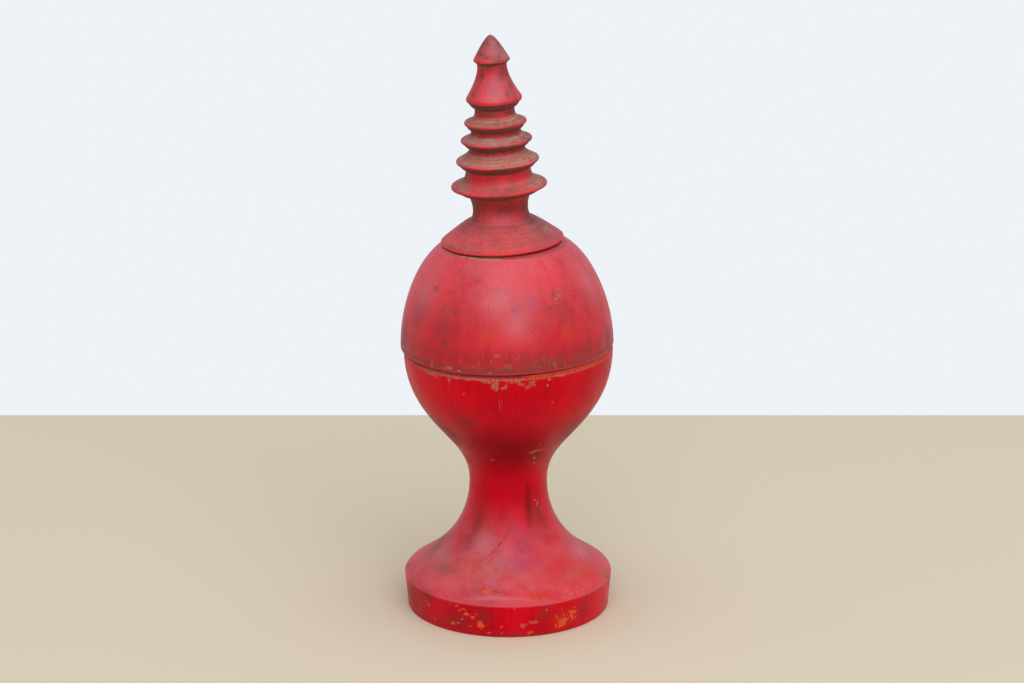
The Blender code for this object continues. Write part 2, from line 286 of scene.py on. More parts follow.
def turn_piece(name, points, steps):
    """Extrudes one vertex along the profile and turns it about Z into one closed solid."""
    bpy.ops.mesh.primitive_plane_add(size=MM)
    piece = bpy.context.object
    piece.name = piece.data.name = name
    bpy.ops.object.mode_set(mode="EDIT")
    bpy.ops.mesh.select_all(action="SELECT")
    bpy.ops.mesh.merge(type="CENTER")
    bpy.ops.transform.translate(value=(points[0][0], 0.0, points[0][1]))
    for here, there in zip(points, points[1:]):
        step = (there[0] - here[0], 0.0, there[1] - here[1])
        bpy.ops.mesh.extrude_vertices_move(TRANSFORM_OT_translate={"value": step})
    if points[0][0] > 0.0:
        close_outline(piece)
    bpy.ops.object.mode_set(mode="OBJECT")
    apply_modifier(piece, "SCREW", steps=steps, render_steps=steps, use_merge_vertices=True,
                   merge_threshold=MERGE_DISTANCE)
    bpy.ops.object.mode_set(mode="EDIT")
    bpy.ops.mesh.select_all(action="SELECT")
    bpy.ops.mesh.remove_doubles(threshold=MERGE_DISTANCE)
    bpy.ops.mesh.normals_make_consistent(inside=False)
    bpy.ops.object.mode_set(mode="OBJECT")
    return piece


def close_outline(piece):
    """Joins the profile's last vertex to its first."""
    bpy.ops.object.mode_set(mode="OBJECT")
    ends = (0, len(piece.data.vertices) - 1)
    for vertex in piece.data.vertices:
        vertex.select = vertex.index in ends
    bpy.ops.object.mode_set(mode="EDIT")
    bpy.ops.mesh.edge_face_add()


def set_in_place(piece, matrix):
    """Puts a turned piece where it belongs, and leaves its place in its mesh."""
    piece.matrix_world = matrix
    pick(piece)
    bpy.ops.object.transform_apply(location=True, rotation=True, scale=True)


def lid_place(pedestal, lid):
    """The lid follows the tilted rim, a little to the left of it."""
    place = Vector((-lid.shift * math.cos(pedestal.rim_tilt), 0.0,
                    pedestal.rim_height - lid.shift * math.sin(pedestal.rim_tilt)))
    return Matrix.Translation(place) @ Matrix.Rotation(-pedestal.rim_tilt, 4, "Y")


def finial_place(pedestal, lid, finial):
    """The finial leans on top of the lid's own tilt."""
    seat = GAP + lid.chamfer_height + lid.dome_height + GAP
    return (lid_place(pedestal, lid) @ Matrix.Translation((-finial.offset, 0.0, seat))
            @ Matrix.Rotation(-finial.lean, 4, "Y"))


def tilt_rim(piece, sizes):
    """Turns the bowl's top about the rim's centre, fading out below it, as warped wood does."""
    rigid_depth = sizes.rim_chamfer_height + RIGID_BELOW_RIM
    for vertex in piece.data.vertices:
        height = vertex.co.z - sizes.rim_height
        amount = min(max(1.0 + (height + rigid_depth) / sizes.rim_tilt_depth, 0.0), 1.0)
        turn = sizes.rim_tilt * amount * amount * (3 - 2 * amount)
        x = vertex.co.x
        vertex.co.x = x * math.cos(turn) - height * math.sin(turn)
        vertex.co.z = sizes.rim_height + x * math.sin(turn) + height * math.cos(turn)


def turn_pedestal(sizes):
    """Foot, stem and bowl, turned from one block."""
    foot = sizes.foot_radius
    corner = (foot - sizes.foot_edge_round * math.cos(sizes.foot_top_slope),
              sizes.foot_side_height + sizes.foot_edge_round * math.sin(sizes.foot_top_slope))
    foot_span = sizes.stem_waist_height - sizes.foot_side_height
    handle = sizes.foot_edge_pull * foot_span
    waist = (sizes.stem_radius, sizes.stem_waist_height)
    shoulder = (sizes.rim_radius, sizes.rim_height - sizes.rim_chamfer_height)
    bowl_span = shoulder[1] - waist[1]
    bowl_handle = sizes.bowl_rim_pull * bowl_span
    spigot = sizes.rim_radius - sizes.seat_width
    spigot_top = sizes.rim_height + sizes.spigot_height

    pen = Pen(0.0, 0.0)
    pen.line(foot - sizes.foot_taper - 2 * FINE_ROUND, 0.0, spacing=PLAIN_SPACING)
    pen.corner((foot - sizes.foot_taper, 0.0), (foot, sizes.foot_side_height - sizes.foot_edge_drop))
    pen.curve((foot, sizes.foot_side_height), corner, spacing=FINE_SPACING)
    pen.curve((corner[0] - handle * math.cos(sizes.foot_top_slope),
               corner[1] + handle * math.sin(sizes.foot_top_slope)),
              (waist[0], waist[1] - sizes.foot_waist_pull * foot_span), waist)
    pen.curve((waist[0], waist[1] + sizes.bowl_waist_pull * bowl_span),
              (shoulder[0] - bowl_handle * math.sin(sizes.bowl_rim_draft),
               shoulder[1] - bowl_handle * math.cos(sizes.bowl_rim_draft)),
              (shoulder[0], shoulder[1] - RIM_ROUND))
    slant = RIM_ROUND_SLANT * RIM_ROUND
    pen.curve(shoulder, (shoulder[0] - slant, shoulder[1] + slant), spacing=EDGE_SPACING)
    pen.line(sizes.rim_radius - sizes.groove_depth, sizes.rim_height, spacing=EDGE_SPACING)
    pen.line(spigot, sizes.rim_height)
    pen.corner((spigot, spigot_top), (spigot - 2 * FINE_ROUND, spigot_top))
    pen.corner((spigot - sizes.spigot_thickness, spigot_top),
               (spigot - sizes.spigot_thickness, spigot_top - 2 * FINE_ROUND))
    pen.points.pop()
    pen.hollow(spigot - sizes.spigot_thickness, spigot_top - FINE_ROUND,
               sizes.stem_waist_height + sizes.bowl_floor_rise)
    piece = turn_piece("turned_pedestal_bowl", pen.points, PEDESTAL_STEPS)
    tilt_rim(piece, sizes)
    return piece


def turn_lid(pedestal, sizes, finial):
    """The hollow lid, faced off and bored square to the finial."""
    edge = (pedestal.rim_radius + sizes.overhang, GAP + sizes.chamfer_height)
    crown = (finial.flange_radius - finial.flange_overhang, edge[1] + sizes.dome_height)
    handle = sizes.crown_pull * sizes.dome_height
    recess_radius = pedestal.rim_radius - pedestal.seat_width + sizes.spigot_clearance
    recess_top = pedestal.spigot_height + sizes.spigot_headroom
    ceiling = crown[1] - sizes.crown_thickness

    pen = Pen(0.0, crown[1])
    pen.line(*crown, spacing=PLAIN_SPACING)
    pen.curve((crown[0] + handle * math.cos(sizes.crown_slope),
               crown[1] - handle * math.sin(sizes.crown_slope)),
              (edge[0], edge[1] + sizes.edge_pull * sizes.dome_height), (edge[0], edge[1] + LID_EDGE_ROUND))
    pen.curve(edge, (edge[0] - LID_EDGE_ROUND, edge[1] - LID_ROUND_SLANT * LID_EDGE_ROUND),
              spacing=EDGE_SPACING)
    pen.line(pedestal.rim_radius - pedestal.groove_depth, GAP, spacing=EDGE_SPACING)
    pen.corner((recess_radius, GAP), (recess_radius, recess_top))
    pen.line(recess_radius - sizes.wall_step, recess_top)
    pen.hollow(recess_radius - sizes.wall_step, recess_top, ceiling)
    piece = turn_piece("turned_lid_dome", pen.points, LID_STEPS)
    bore_crown(piece, sizes, finial, crown[1] - ceiling)
    set_in_place(piece, lid_place(pedestal, sizes))
    return piece


def bore_crown(lid, sizes, finial, thickness):
    """Cuts the tenon's hole and the finial's seat, both square to the leaning finial."""
    hole = finial.tenon_radius + finial.tenon_clearance
    facing = finial.flange_radius + finial.flange_overhang
    reach = thickness + finial.tenon_length
    pen = Pen(0.0, -reach)
    pen.line(hole, -reach, spacing=PLAIN_SPACING)
    pen.line(hole, -GAP, spacing=PLAIN_SPACING)
    pen.line(facing, -GAP)
    pen.line(facing, finial.flange_height, spacing=PLAIN_SPACING)
    pen.line(0.0, finial.flange_height, spacing=PLAIN_SPACING)
    cutter = turn_piece("crown_cutter", pen.points, FINIAL_STEPS // 2)
    seat = GAP + sizes.chamfer_height + sizes.dome_height + GAP
    set_in_place(cutter, Matrix.Translation((-finial.offset, 0.0, seat))
                 @ Matrix.Rotation(-finial.lean, 4, "Y"))
    apply_modifier(lid, "BOOLEAN", operation="DIFFERENCE", solver="EXACT", object=cutter)
    bpy.data.objects.remove(cutter)


def turn_finial(pedestal, lid, sizes):
    """Tenon, flange, neck, rings, bell and tip."""
    half = sizes.ring_edge / 2
    pen = Pen(0.0, -sizes.tenon_length)
    pen.corner((sizes.tenon_radius, -sizes.tenon_length), (sizes.tenon_radius, 0.0))
    pen.line(sizes.flange_radius - FINE_ROUND, 0.0, spacing=PLAIN_SPACING)
    pen.curve((sizes.flange_radius, 0.0), (sizes.flange_radius, sizes.flange_edge), spacing=EDGE_SPACING)
    underside = (RINGS[0].height - RINGS[0].undercut) * MM
    fillet = sizes.neck_fillet
    pen.curve((sizes.neck_radius + sizes.flange_sweep, sizes.flange_height - 0.3 * fillet),
              (sizes.neck_radius + fillet, sizes.flange_height), spacing=FINE_SPACING)
    pen.curve((sizes.neck_radius, sizes.flange_height + 0.2 * fillet),
              (sizes.neck_radius - 0.2 * fillet, sizes.flange_height + 1.5 * fillet), spacing=EDGE_SPACING)
    pen.curve((2 * sizes.neck_waist_radius - sizes.neck_radius, (sizes.flange_height + underside) / 2),
              (sizes.ring_base_radius, underside), spacing=FINE_SPACING)
    starts = [(ring.height - ring.undercut) * MM for ring in RINGS[1:]]
    for ring, next_start in zip(RINGS, [*starts, sizes.bell_height - sizes.bell_undercut]):
        rim = ring.radius * MM
        height = ring.height * MM
        core = ring.core * MM
        pen.undercut(rim - half, height - half)
        pen.curve((rim, height - half), (rim, height + half), (rim - half, height + half),
                  spacing=EDGE_SPACING)
        pen.curve((core, height + half + ring.rise * MM), (core, next_start), spacing=FINE_SPACING)
    rim = sizes.bell_radius
    pen.undercut(rim - half, sizes.bell_height - half)
    bell_top = (sizes.bell_top_radius, sizes.tip_height - sizes.tip_undercut)
    bend = (sizes.bell_top_radius - sizes.bell_hollow,
            sizes.bell_height + half + sizes.bell_bend * (sizes.tip_height - sizes.bell_height))
    pen.curve((rim, sizes.bell_height - half), (rim, sizes.bell_height + half * 1.4), spacing=EDGE_SPACING)
    pen.curve(bend, bell_top, spacing=FINE_SPACING)
    pen.line(sizes.tip_radius - half, sizes.tip_height - 0.3 * half, spacing=EDGE_SPACING)
    tip_top = sizes.tip_height + sizes.tip_length
    pen.curve((sizes.tip_radius, sizes.tip_height), (sizes.tip_radius - 0.4 * half, sizes.tip_height + half),
              spacing=EDGE_SPACING)
    pen.curve((sizes.tip_bluntness, tip_top), (0.0, tip_top), spacing=FINE_SPACING)
    piece = turn_piece("turned_finial", pen.points, FINIAL_STEPS)
    set_in_place(piece, finial_place(pedestal, lid, sizes))
    return piece


# ---------------------------------------------------------------- ageing, with painted shade and highlights

Mark = namedtuple("Mark", "azimuth height across tall slant", defaults=(0,))
# azimuth and slant in degrees; height, and half the mark's width and height, in millimetres

HAND_TURNING = 0.16 * MM            # unevenness left by the hand-held tool
HAND_TURNING_SIZE = 0.022
CHIP_DEPTH = 0.16 * MM
CHIP_STEEPNESS = 2.0                # how soon a chip reaches its full depth inside its edge
MARK_FALL = 1.4                     # how fast a soft mark fades outwards
RELIEF_ROUNDS = {"relief": 14, "hollow": 80}  # smoothing rounds that set the size of edges and grooves
CHIPPED = ("bare", "undercoat")     # marks with a sharp edge
# soft marks: stains, and also painted shade and painted highlights
STAINS_AND_PAINTED_LIGHT = ("grime", "dust", "scuffed", "warm", "cool", "haze_and_highlight", "thick")


def rough_up(piece):
    """Gives the surface the slight unevenness of hand turning."""
    texture = bpy.data.textures.new("hand_turning", "CLOUDS")
    texture.noise_scale = HAND_TURNING_SIZE
    texture.noise_depth = 1
    apply_modifier(piece, "DISPLACE", texture=texture, texture_coords="LOCAL", strength=HAND_TURNING,
                   mid_level=0.5)


def vertex_values(piece, kind):
    """The vertices' places or normals as an array."""
    mesh = piece.data
    values = np.zeros(len(mesh.vertices) * 3, np.float32)
    source = mesh.vertices if kind == "co" else mesh.vertex_normals
    source.foreach_get("co" if kind == "co" else "vector", values)
    return values.reshape(-1, 3).astype(float)


def save_field(piece, name, values):
    attribute = piece.data.attributes.new(name, "FLOAT", "POINT")
    attribute.data.foreach_set("value", np.asarray(values, np.float32))


def relief_of(piece, rounds):
    """How far each vertex stands proud of its surroundings, in millimetres: edges above 0, grooves below.

    More rounds of smoothing look further around: a few find edges, and many find whole hollows.
    """
    places, normals = vertex_values(piece, "co"), vertex_values(piece, "normal")
    edges = np.zeros(len(piece.data.edges) * 2, np.int32)
    piece.data.edges.foreach_get("vertices", edges)
    first, second = edges[0::2], edges[1::2]
    count = len(places)
    neighbours = np.bincount(first, minlength=count) + np.bincount(second, minlength=count)
    smooth = places.copy()
    reliefs = {}
    for done in range(1, max(rounds.values()) + 1):
        total = np.stack([np.bincount(first, smooth[second, axis], count)
                          + np.bincount(second, smooth[first, axis], count) for axis in range(3)], axis=1)
        smooth = (smooth + total / neighbours[:, None]) / 2
        for name in rounds:
            if rounds[name] == done:
                reliefs[name] = ((places - smooth) * normals).sum(axis=1) / MM
    return reliefs


def mark_frame(places, normals, mark):
    """A mark's centre on the surface, with its directions across, up and out."""
    azimuth = math.radians(mark.azimuth)
    outward = np.array([math.sin(azimuth), -math.cos(azimuth), 0.0])
    sideways = np.array([math.cos(azimuth), math.sin(azimuth), 0.0])
    radius = places @ outward
    near = (np.abs(places @ sideways) < 0.8 * MM) & (radius > 0)
    miss = np.abs(places[:, 2] - mark.height * MM) / MM - 0.15 * radius / MM
    index = np.flatnonzero(near)[np.argmin(miss[near])]
    out = normals[index] / np.linalg.norm(normals[index])
    across = sideways - out * (sideways @ out)
    across /= np.linalg.norm(across)
    up = np.cross(out, across)
    slant = math.radians(mark.slant)
    turned_across = across * math.cos(slant) + up * math.sin(slant)
    turned_up = up * math.cos(slant) - across * math.sin(slant)
    return places[index], turned_across, turned_up, out


def field_of(piece, marks, soft=False):
    """Lays marks over a surface: 1 in a mark's middle, 0 at its edge, and less outside it."""
    places, normals = vertex_values(piece, "co"), vertex_values(piece, "normal")
    field = np.full(len(places), 0.0 if soft else -1.0)
    for mark in (Mark(*values) for values in marks):
        centre, across, up, out = mark_frame(places, normals, mark)
        offset = places - centre
        distance = np.hypot(offset @ across / (mark.across * MM), offset @ up / (mark.tall * MM))
        value = np.exp(-MARK_FALL * distance**2) if soft else 1 - distance
        near = np.abs(offset @ out) < max(mark.across, mark.tall, 2.0) * 1.5 * MM
        field = np.where(near, np.maximum(field, value), field)
    return np.maximum(field, -1.0)


def scatter(seed, count, azimuths, heights, sizes):
    """Marks strewn at random over a band of the surface."""
    draw = random.Random(seed)
    marks = []
    for _ in range(count):
        size = draw.uniform(*sizes)
        marks.append((draw.uniform(*azimuths), draw.uniform(*heights), size,
                      size * draw.uniform(0.5, 1.1), draw.uniform(-40, 40)))
    return marks


def chip_away(piece, *fields):
    """Sinks the surface a little where the lacquer has broken away."""
    deepest = np.clip(np.max(fields, axis=0) * CHIP_STEEPNESS, 0, 1)
    group = piece.vertex_groups.new(name="chips")
    for index in np.flatnonzero(deepest > 0):
        group.add([int(index)], float(deepest[index]), "REPLACE")
    apply_modifier(piece, "DISPLACE", vertex_group=group.name, mid_level=0.0, strength=-CHIP_DEPTH)
    piece.vertex_groups.clear()


def age_piece(piece, wear):
    """Lays every kind of mark on a piece, and chips the lacquer off where it shows wood or undercoat."""
    rough_up(piece)
    fields = relief_of(piece, RELIEF_ROUNDS)
    for name in CHIPPED:
        fields[name] = field_of(piece, wear.get(name, ()))
    for name in STAINS_AND_PAINTED_LIGHT:
        fields[name] = field_of(piece, wear.get(name, ()), soft=True)
    chip_away(piece, fields["bare"], fields["undercoat"])
    for name, values in fields.items():
        save_field(piece, name, values)
    pick(piece)
    bpy.ops.object.shade_smooth_by_angle(angle=SMOOTH_LIMIT)


RIM_RISE = 0.86                     # millimetres by which the tilted rim rises towards the right
CROWN_RISE = 0.52                   # and the lid round the finial
RING_RISE = 0.65                    # and the leaning finial's rings


def row(azimuths, height, across, tall, rise=RIM_RISE):
    """Marks in a row round the tilted rim or lid; their height is the one in front."""
    return [(azimuth, height + rise * math.sin(math.radians(azimuth)), across, tall)
            for azimuth in azimuths]


# Each mark is its azimuth, its height, half its width and half its height, and its slant if it has one.

PEDESTAL_WEAR = {
    "bare": [
        # flakes off the rim
        (-47, 90.5, 2.8, 0.9), (-44, 89.8, 1.0, 0.8), (-38, 90.8, 1.8, 0.7), (-34, 90.0, 0.5, 1.2),
        (-29, 90.7, 1.5, 0.5), (-22, 90.7, 1.6, 0.5), (-14, 90.8, 1.7, 0.5), (-9, 90.4, 1.5, 0.8),
        (-7.5, 89.5, 1.0, 1.7, -15), (-6, 88.4, 0.5, 0.6), (-1.4, 88.2, 0.9, 0.5, 25),
        (0.2, 88.7, 0.5, 0.5), (4, 90.6, 2.2, 0.6), (8, 89.6, 1.5, 0.5, -30), (10.5, 88.8, 1.1, 0.5, 20),
        (12.5, 90.0, 1.1, 0.9), (21.9, 88.5, 0.4, 0.4), (24, 90.3, 0.7, 0.3), (31, 91.1, 1.5, 0.3),
        *row(range(-66, 66, 4), 91.25, 2.2, 0.2),
        # stem
        (26, 60.5, 2.3, 0.7, 12), (30, 57, 0.5, 0.7, 20), (33, 55, 0.4, 0.6), (42, 40.5, 0.7, 0.35, -30),
        (47, 38.8, 0.3, 1.4, -30), (52, 37.3, 0.35, 0.5), (-17.6, 56.9, 0.5, 0.3),
        # foot's top and its edge
        (-37, 20.3, 0.6, 0.7), (-44.4, 17.2, 0.9, 0.5), (-69.8, 19.3, 0.6, 0.6), (-31.9, 23.8, 0.7, 0.6),
        (16.7, 15.2, 0.6, 0.5), (3.7, 12.9, 1.1, 0.7), (21.2, 12.6, 0.4, 0.4), (76, 12.8, 2.2, 2.6, 30),
        # foot's side
        (-50.5, 7.1, 0.6, 0.9), (14.5, 5.1, 1.2, 0.5), (8.5, 4.3, 0.9, 0.6), (-22, 3.2, 0.6, 0.3),
        (-46.4, 2.4, 0.4, 0.4), (-29, 3.9, 1.0, 0.35), (-26, 5.2, 0.6, 0.35), (37, 5.4, 0.5, 0.5),
        *scatter(3, 16, (80, 290), (1.0, 11.5), (0.3, 0.9)),
        *scatter(4, 20, (70, 300), (90.2, 91.2), (0.4, 1.4)),
        *scatter(5, 10, (75, 290), (16, 60), (0.3, 0.9)),
    ],
    "undercoat": [
        *row(range(-66, 12, 6), 91.3, 2.0, 0.28), *row(range(12, 96, 5), 91.75, 3.0, 0.5),
        *row(range(100, 280, 7), 91.4, 2.0, 0.4), (-24, 85, 0.6, 0.5), (24.9, 82, 0.35, 0.3),
        (26.9, 63.6, 0.4, 0.6), (-13.3, 15.2, 1.5, 1.2), (-40, 14.4, 0.45, 0.35), (8.3, 13.7, 0.45, 0.4),
        (33, 12.7, 0.7, 0.5), (36, 12.4, 0.4, 0.5), (38.5, 12.9, 0.7, 0.5), (41.5, 13, 0.5, 0.4),
        (-23, 7.6, 1.2, 0.8), (-20.5, 6.2, 0.8, 0.7), (-17.5, 7.8, 0.5, 0.4), (-15.3, 4.2, 1.3, 1.2),
        (-4, 3.9, 0.4, 0.5), (-3.1, 1.7, 0.6, 0.5), (12.5, 5.4, 0.5, 0.4), (34, 4.4, 1.3, 1.2),
        *scatter(32, 18, (27, 42), (2.2, 8.0), (0.25, 0.7)), (21.7, 9.3, 0.5, 0.7), (31, 8.6, 0.4, 0.4),
        (40, 8.1, 0.4, 0.4), (27, 3, 0.5, 0.5), (38, 6.4, 1.2, 1.0), (31, 2.6, 1.3, 0.8),
        (12, 1.6, 1.0, 0.5), (-33, 3.2, 1.0, 0.6), (-11, 1.8, 0.7, 0.5), (-25, 9.0, 0.7, 0.3),
        *scatter(33, 12, (4, 46), (12.7, 15.2), (0.25, 0.6)), (29, 11.6, 0.5, 0.4), (48, 13.2, 0.5, 0.4),
        (24, 14.4, 0.5, 0.4), *scatter(6, 40, (80, 290), (1.0, 13.0), (0.25, 1.0)),
        *scatter(7, 14, (-75, 75), (1.0, 12.0), (0.25, 0.55)),
    ],
    "grime": [
        (-68, 7, 6, 7), (-50, 18, 6, 3.0), (-29, 4.5, 7, 3.5), (-38, 2, 9, 1.6), (-52, 10.5, 5, 2.5),
        (-14, 7, 3, 3.5), (20, 8, 3.5, 3), (47, 6, 4, 5), (5, 1, 20, 1.0),
        # the row along the rim's left and front is grime with painted shade in the seam under the lid's
        # overhang
        *row(range(-90, 8, 5), 91.9, 3.0, 0.55), (-10, 15.2, 5, 0.8), (-46, 26, 3, 5), (45, 36, 3, 7),
        (30, 57, 4, 4), (-42, 33, 2.5, 8), (-50, 66, 7, 8), (52, 68, 6, 8), (-30, 74, 5, 5),
        *scatter(8, 14, (90, 280), (1, 24), (3, 7)),
    ],
    "dust": [
        (-20, 20, 20, 7), (-55, 19, 12, 7), (55, 17, 14, 3), (180, 19, 40, 8), (78, 12.5, 4, 3),
        (110, 19, 20, 8), (-110, 19, 20, 8),
    ],
    "scuffed": [(-20, 60, 4, 5), (32, 57, 4, 5), (10, 16, 9, 2.5), (-30, 18, 12, 4), (-28, 29, 5, 6)],
    "warm": [
        (45, 18, 11, 7), (60, 16, 8, 6), *row(range(6, 96, 5), 91.7, 4, 1.1), (33, 4.5, 5, 4),
        (20, 14, 9, 3),
    ],
    "cool": [(14, 27, 5, 7), (10, 22, 8, 5), (5, 31, 2.2, 5)],
    # painted highlight and sheen on the foot's top, its front edge and its sides, with dry bloom
    "haze_and_highlight": [(-26, 27, 6, 6), (-2, 24, 4, 5), (-4, 13.7, 14, 0.8), (-75, 20, 7, 4), (80, 20, 7, 4)],
    # round the waist: painted shade under the bowl in deep red, with thicker lacquer; the narrow mark on the
    # stem is a deeper streak of lacquer
    "thick": [*((azimuth, 62, 26, 19) for azimuth in (0, 90, 180, 270)), (30, 39, 2.0, 11)],
}

LID_WEAR = {
    "bare": [
        (-44.5, 93.9, 0.4, 1.0, -8), (-31, 93.7, 1.3, 0.4), (-27, 93.6, 0.5, 0.35), (-36, 93.5, 0.7, 0.3),
        (-9, 93.5, 0.4, 0.35), (-53.3, 119.1, 0.9, 0.5, -30), (31.6, 117.5, 0.45, 0.6),
        (15.5, 107, 0.3, 0.3), (-5.9, 99.8, 0.8, 0.2, -10),
        *scatter(13, 16, (80, 290), (93.3, 94.2), (0.4, 1.3)),
        *scatter(14, 9, (80, 290), (98, 124), (0.3, 0.8)),
    ],
    "undercoat": [(30, 116.5, 0.5, 0.4), *scatter(15, 8, (80, 290), (96, 124), (0.3, 0.7))],
    "grime": [
        (-53, 118, 2.2, 1.6), (31.5, 117.6, 1.8, 1.5), (-40, 112.3, 1.2, 1.6), (-32.3, 111.9, 2.0, 1.4),
        (-29.2, 105.2, 0.6, 0.6), (-35, 101.5, 2.6, 1.0, -20), (26, 113.8, 2.2, 0.7, 18), (-75, 101, 4, 6),
        (72, 98, 4, 4), *row(range(-84, 96, 6), 94.3, 4.5, 1.3), *row(range(-12, 14, 4), 95.2, 4, 1.6),
        # the row at 128.45 is painted shadow under the finial's flange lip, with dirt
        (20, 96.4, 12, 1.8), (46, 97.0, 8, 1.6), *row(range(-84, 96, 6), 128.45, 2.6, 0.7, CROWN_RISE),
        *scatter(16, 22, (80, 290), (94, 96), (4, 9)), *scatter(17, 6, (85, 280), (98, 124), (1, 3)),
    ],
    "dust": [
        *row(range(-75, 8, 5), 128.3, 2.0, 0.6, CROWN_RISE),
        *row(range(18, 34, 5), 128.3, 2.0, 0.5, CROWN_RISE),
        *row(range(90, 280, 8), 128.1, 3.0, 0.8, CROWN_RISE),
    ],
    "scuffed": [
        (-19, 94.8, 2.6, 1.4), (25, 96, 12, 2.2), (0, 97, 16, 3), (-38, 112, 4, 4), (35, 117, 4, 4),
        (180, 96, 40, 3),
    ],
    "warm": [(34.6, 105.2, 3.4, 4.5), (12, 104.5, 3.2, 2.2), (-12, 105, 4, 3), (120, 106, 8, 7)],
    "cool": [(13, 116.3, 3.6, 2.8), (6, 113.5, 2.4, 2.6), (210, 112, 9, 9)],
    # painted highlight at the dome's front and painted sheen at its sides, with dry bloom
    "haze_and_highlight": [(4, 109.5, 5, 6), (-8, 117, 7, 6), (-60, 116, 7, 9), (66, 118, 5, 8)],
    # painted shade low on the dome and at its sides, with thicker lacquer
    "thick": [
        *row(range(-90, 270, 10), 94.6, 6, 2.2), *row(range(-90, 270, 10), 98.0, 6, 4.5), (-36, 106, 9, 8),
        (34, 112, 6, 8), (-60, 108, 6, 8), (150, 108, 14, 9),
    ],
}

FINIAL_WEAR = {
    "bare": [*scatter(21, 6, (80, 280), (130, 190), (0.3, 0.7)), (30, 149.9, 0.6, 0.2, 20)],
    "undercoat": [(-38, 149.6, 0.8, 0.4), *scatter(22, 6, (-180, 180), (130, 190), (0.2, 0.5))],
    "grime": [
        (-68, 193.5, 2.2, 1.3), (-52, 192.6, 2.5, 0.9), (-28, 192.4, 4, 0.8), (-45, 199.3, 1.6, 1.0),
        (-62, 187, 1.5, 4), (-15, 187, 1.4, 3.5), (5, 181, 1.2, 3), (-70, 180, 1.4, 4),
        # the rows and bands under the bell, the rings, the tip's step and the flange are painted shade
        # beneath the rims, with grime
        (-40, 189.8, 7, 1.3), *row(range(0, 360, 30), 174.3, 6, 1.9, RING_RISE),
        *row(range(0, 360, 30), 167.6, 7, 1.7, RING_RISE),
        *row(range(0, 360, 30), 161.6, 7, 1.7, RING_RISE), (180, 190, 7, 3), (0, 175.6, 9, 1.6),
        (60, 156.5, 2.2, 2.2), (-58, 129.5, 4, 1.0), (0, 145.6, 12, 1.2), (70, 138, 3, 5), (-75, 138, 3, 5),
        *scatter(23, 8, (-180, 180), (140, 195), (1.2, 2.6)),
    ],
    "dust": [
        (-10, 201, 6, 3), (-45, 196, 3, 2), *row(range(0, 360, 30), 171.3, 6, 3.6, RING_RISE),
        *row(range(0, 360, 30), 165.3, 7, 3.8, RING_RISE),
        *row(range(0, 360, 30), 158.5, 8, 4.2, RING_RISE),
        *row(range(75, 300, 30), 149.8, 8, 3.2, RING_RISE), (180, 133, 30, 5), (72, 134, 4, 2.5),
    ],
    "scuffed": [
        (16, 149.9, 7, 1.4), (5, 137.5, 8, 2.2), (0, 134.5, 12, 1.4), (-50, 136, 6, 3), (0, 200, 5, 4),
        (0, 158, 14, 2),
    ],
    "warm": [(0, 129.5, 9, 2)],
    "cool": [(-28, 184, 2.2, 5), (-42, 196.5, 2.4, 2.4)],
    # painted highlight on the bell, the tip and the neck, with dry bloom
    "haze_and_highlight": [(-26, 182, 5, 7), (-38, 195.5, 5, 5), (-10, 138, 9, 4)],
    # painted shade on the neck under the lowest ring, with thicker lacquer
    "thick": [(0, 142, 10, 3), (-60, 142, 8, 4), (60, 142, 8, 4)],
}


# ---------------------------------------------------------------- shader nodes

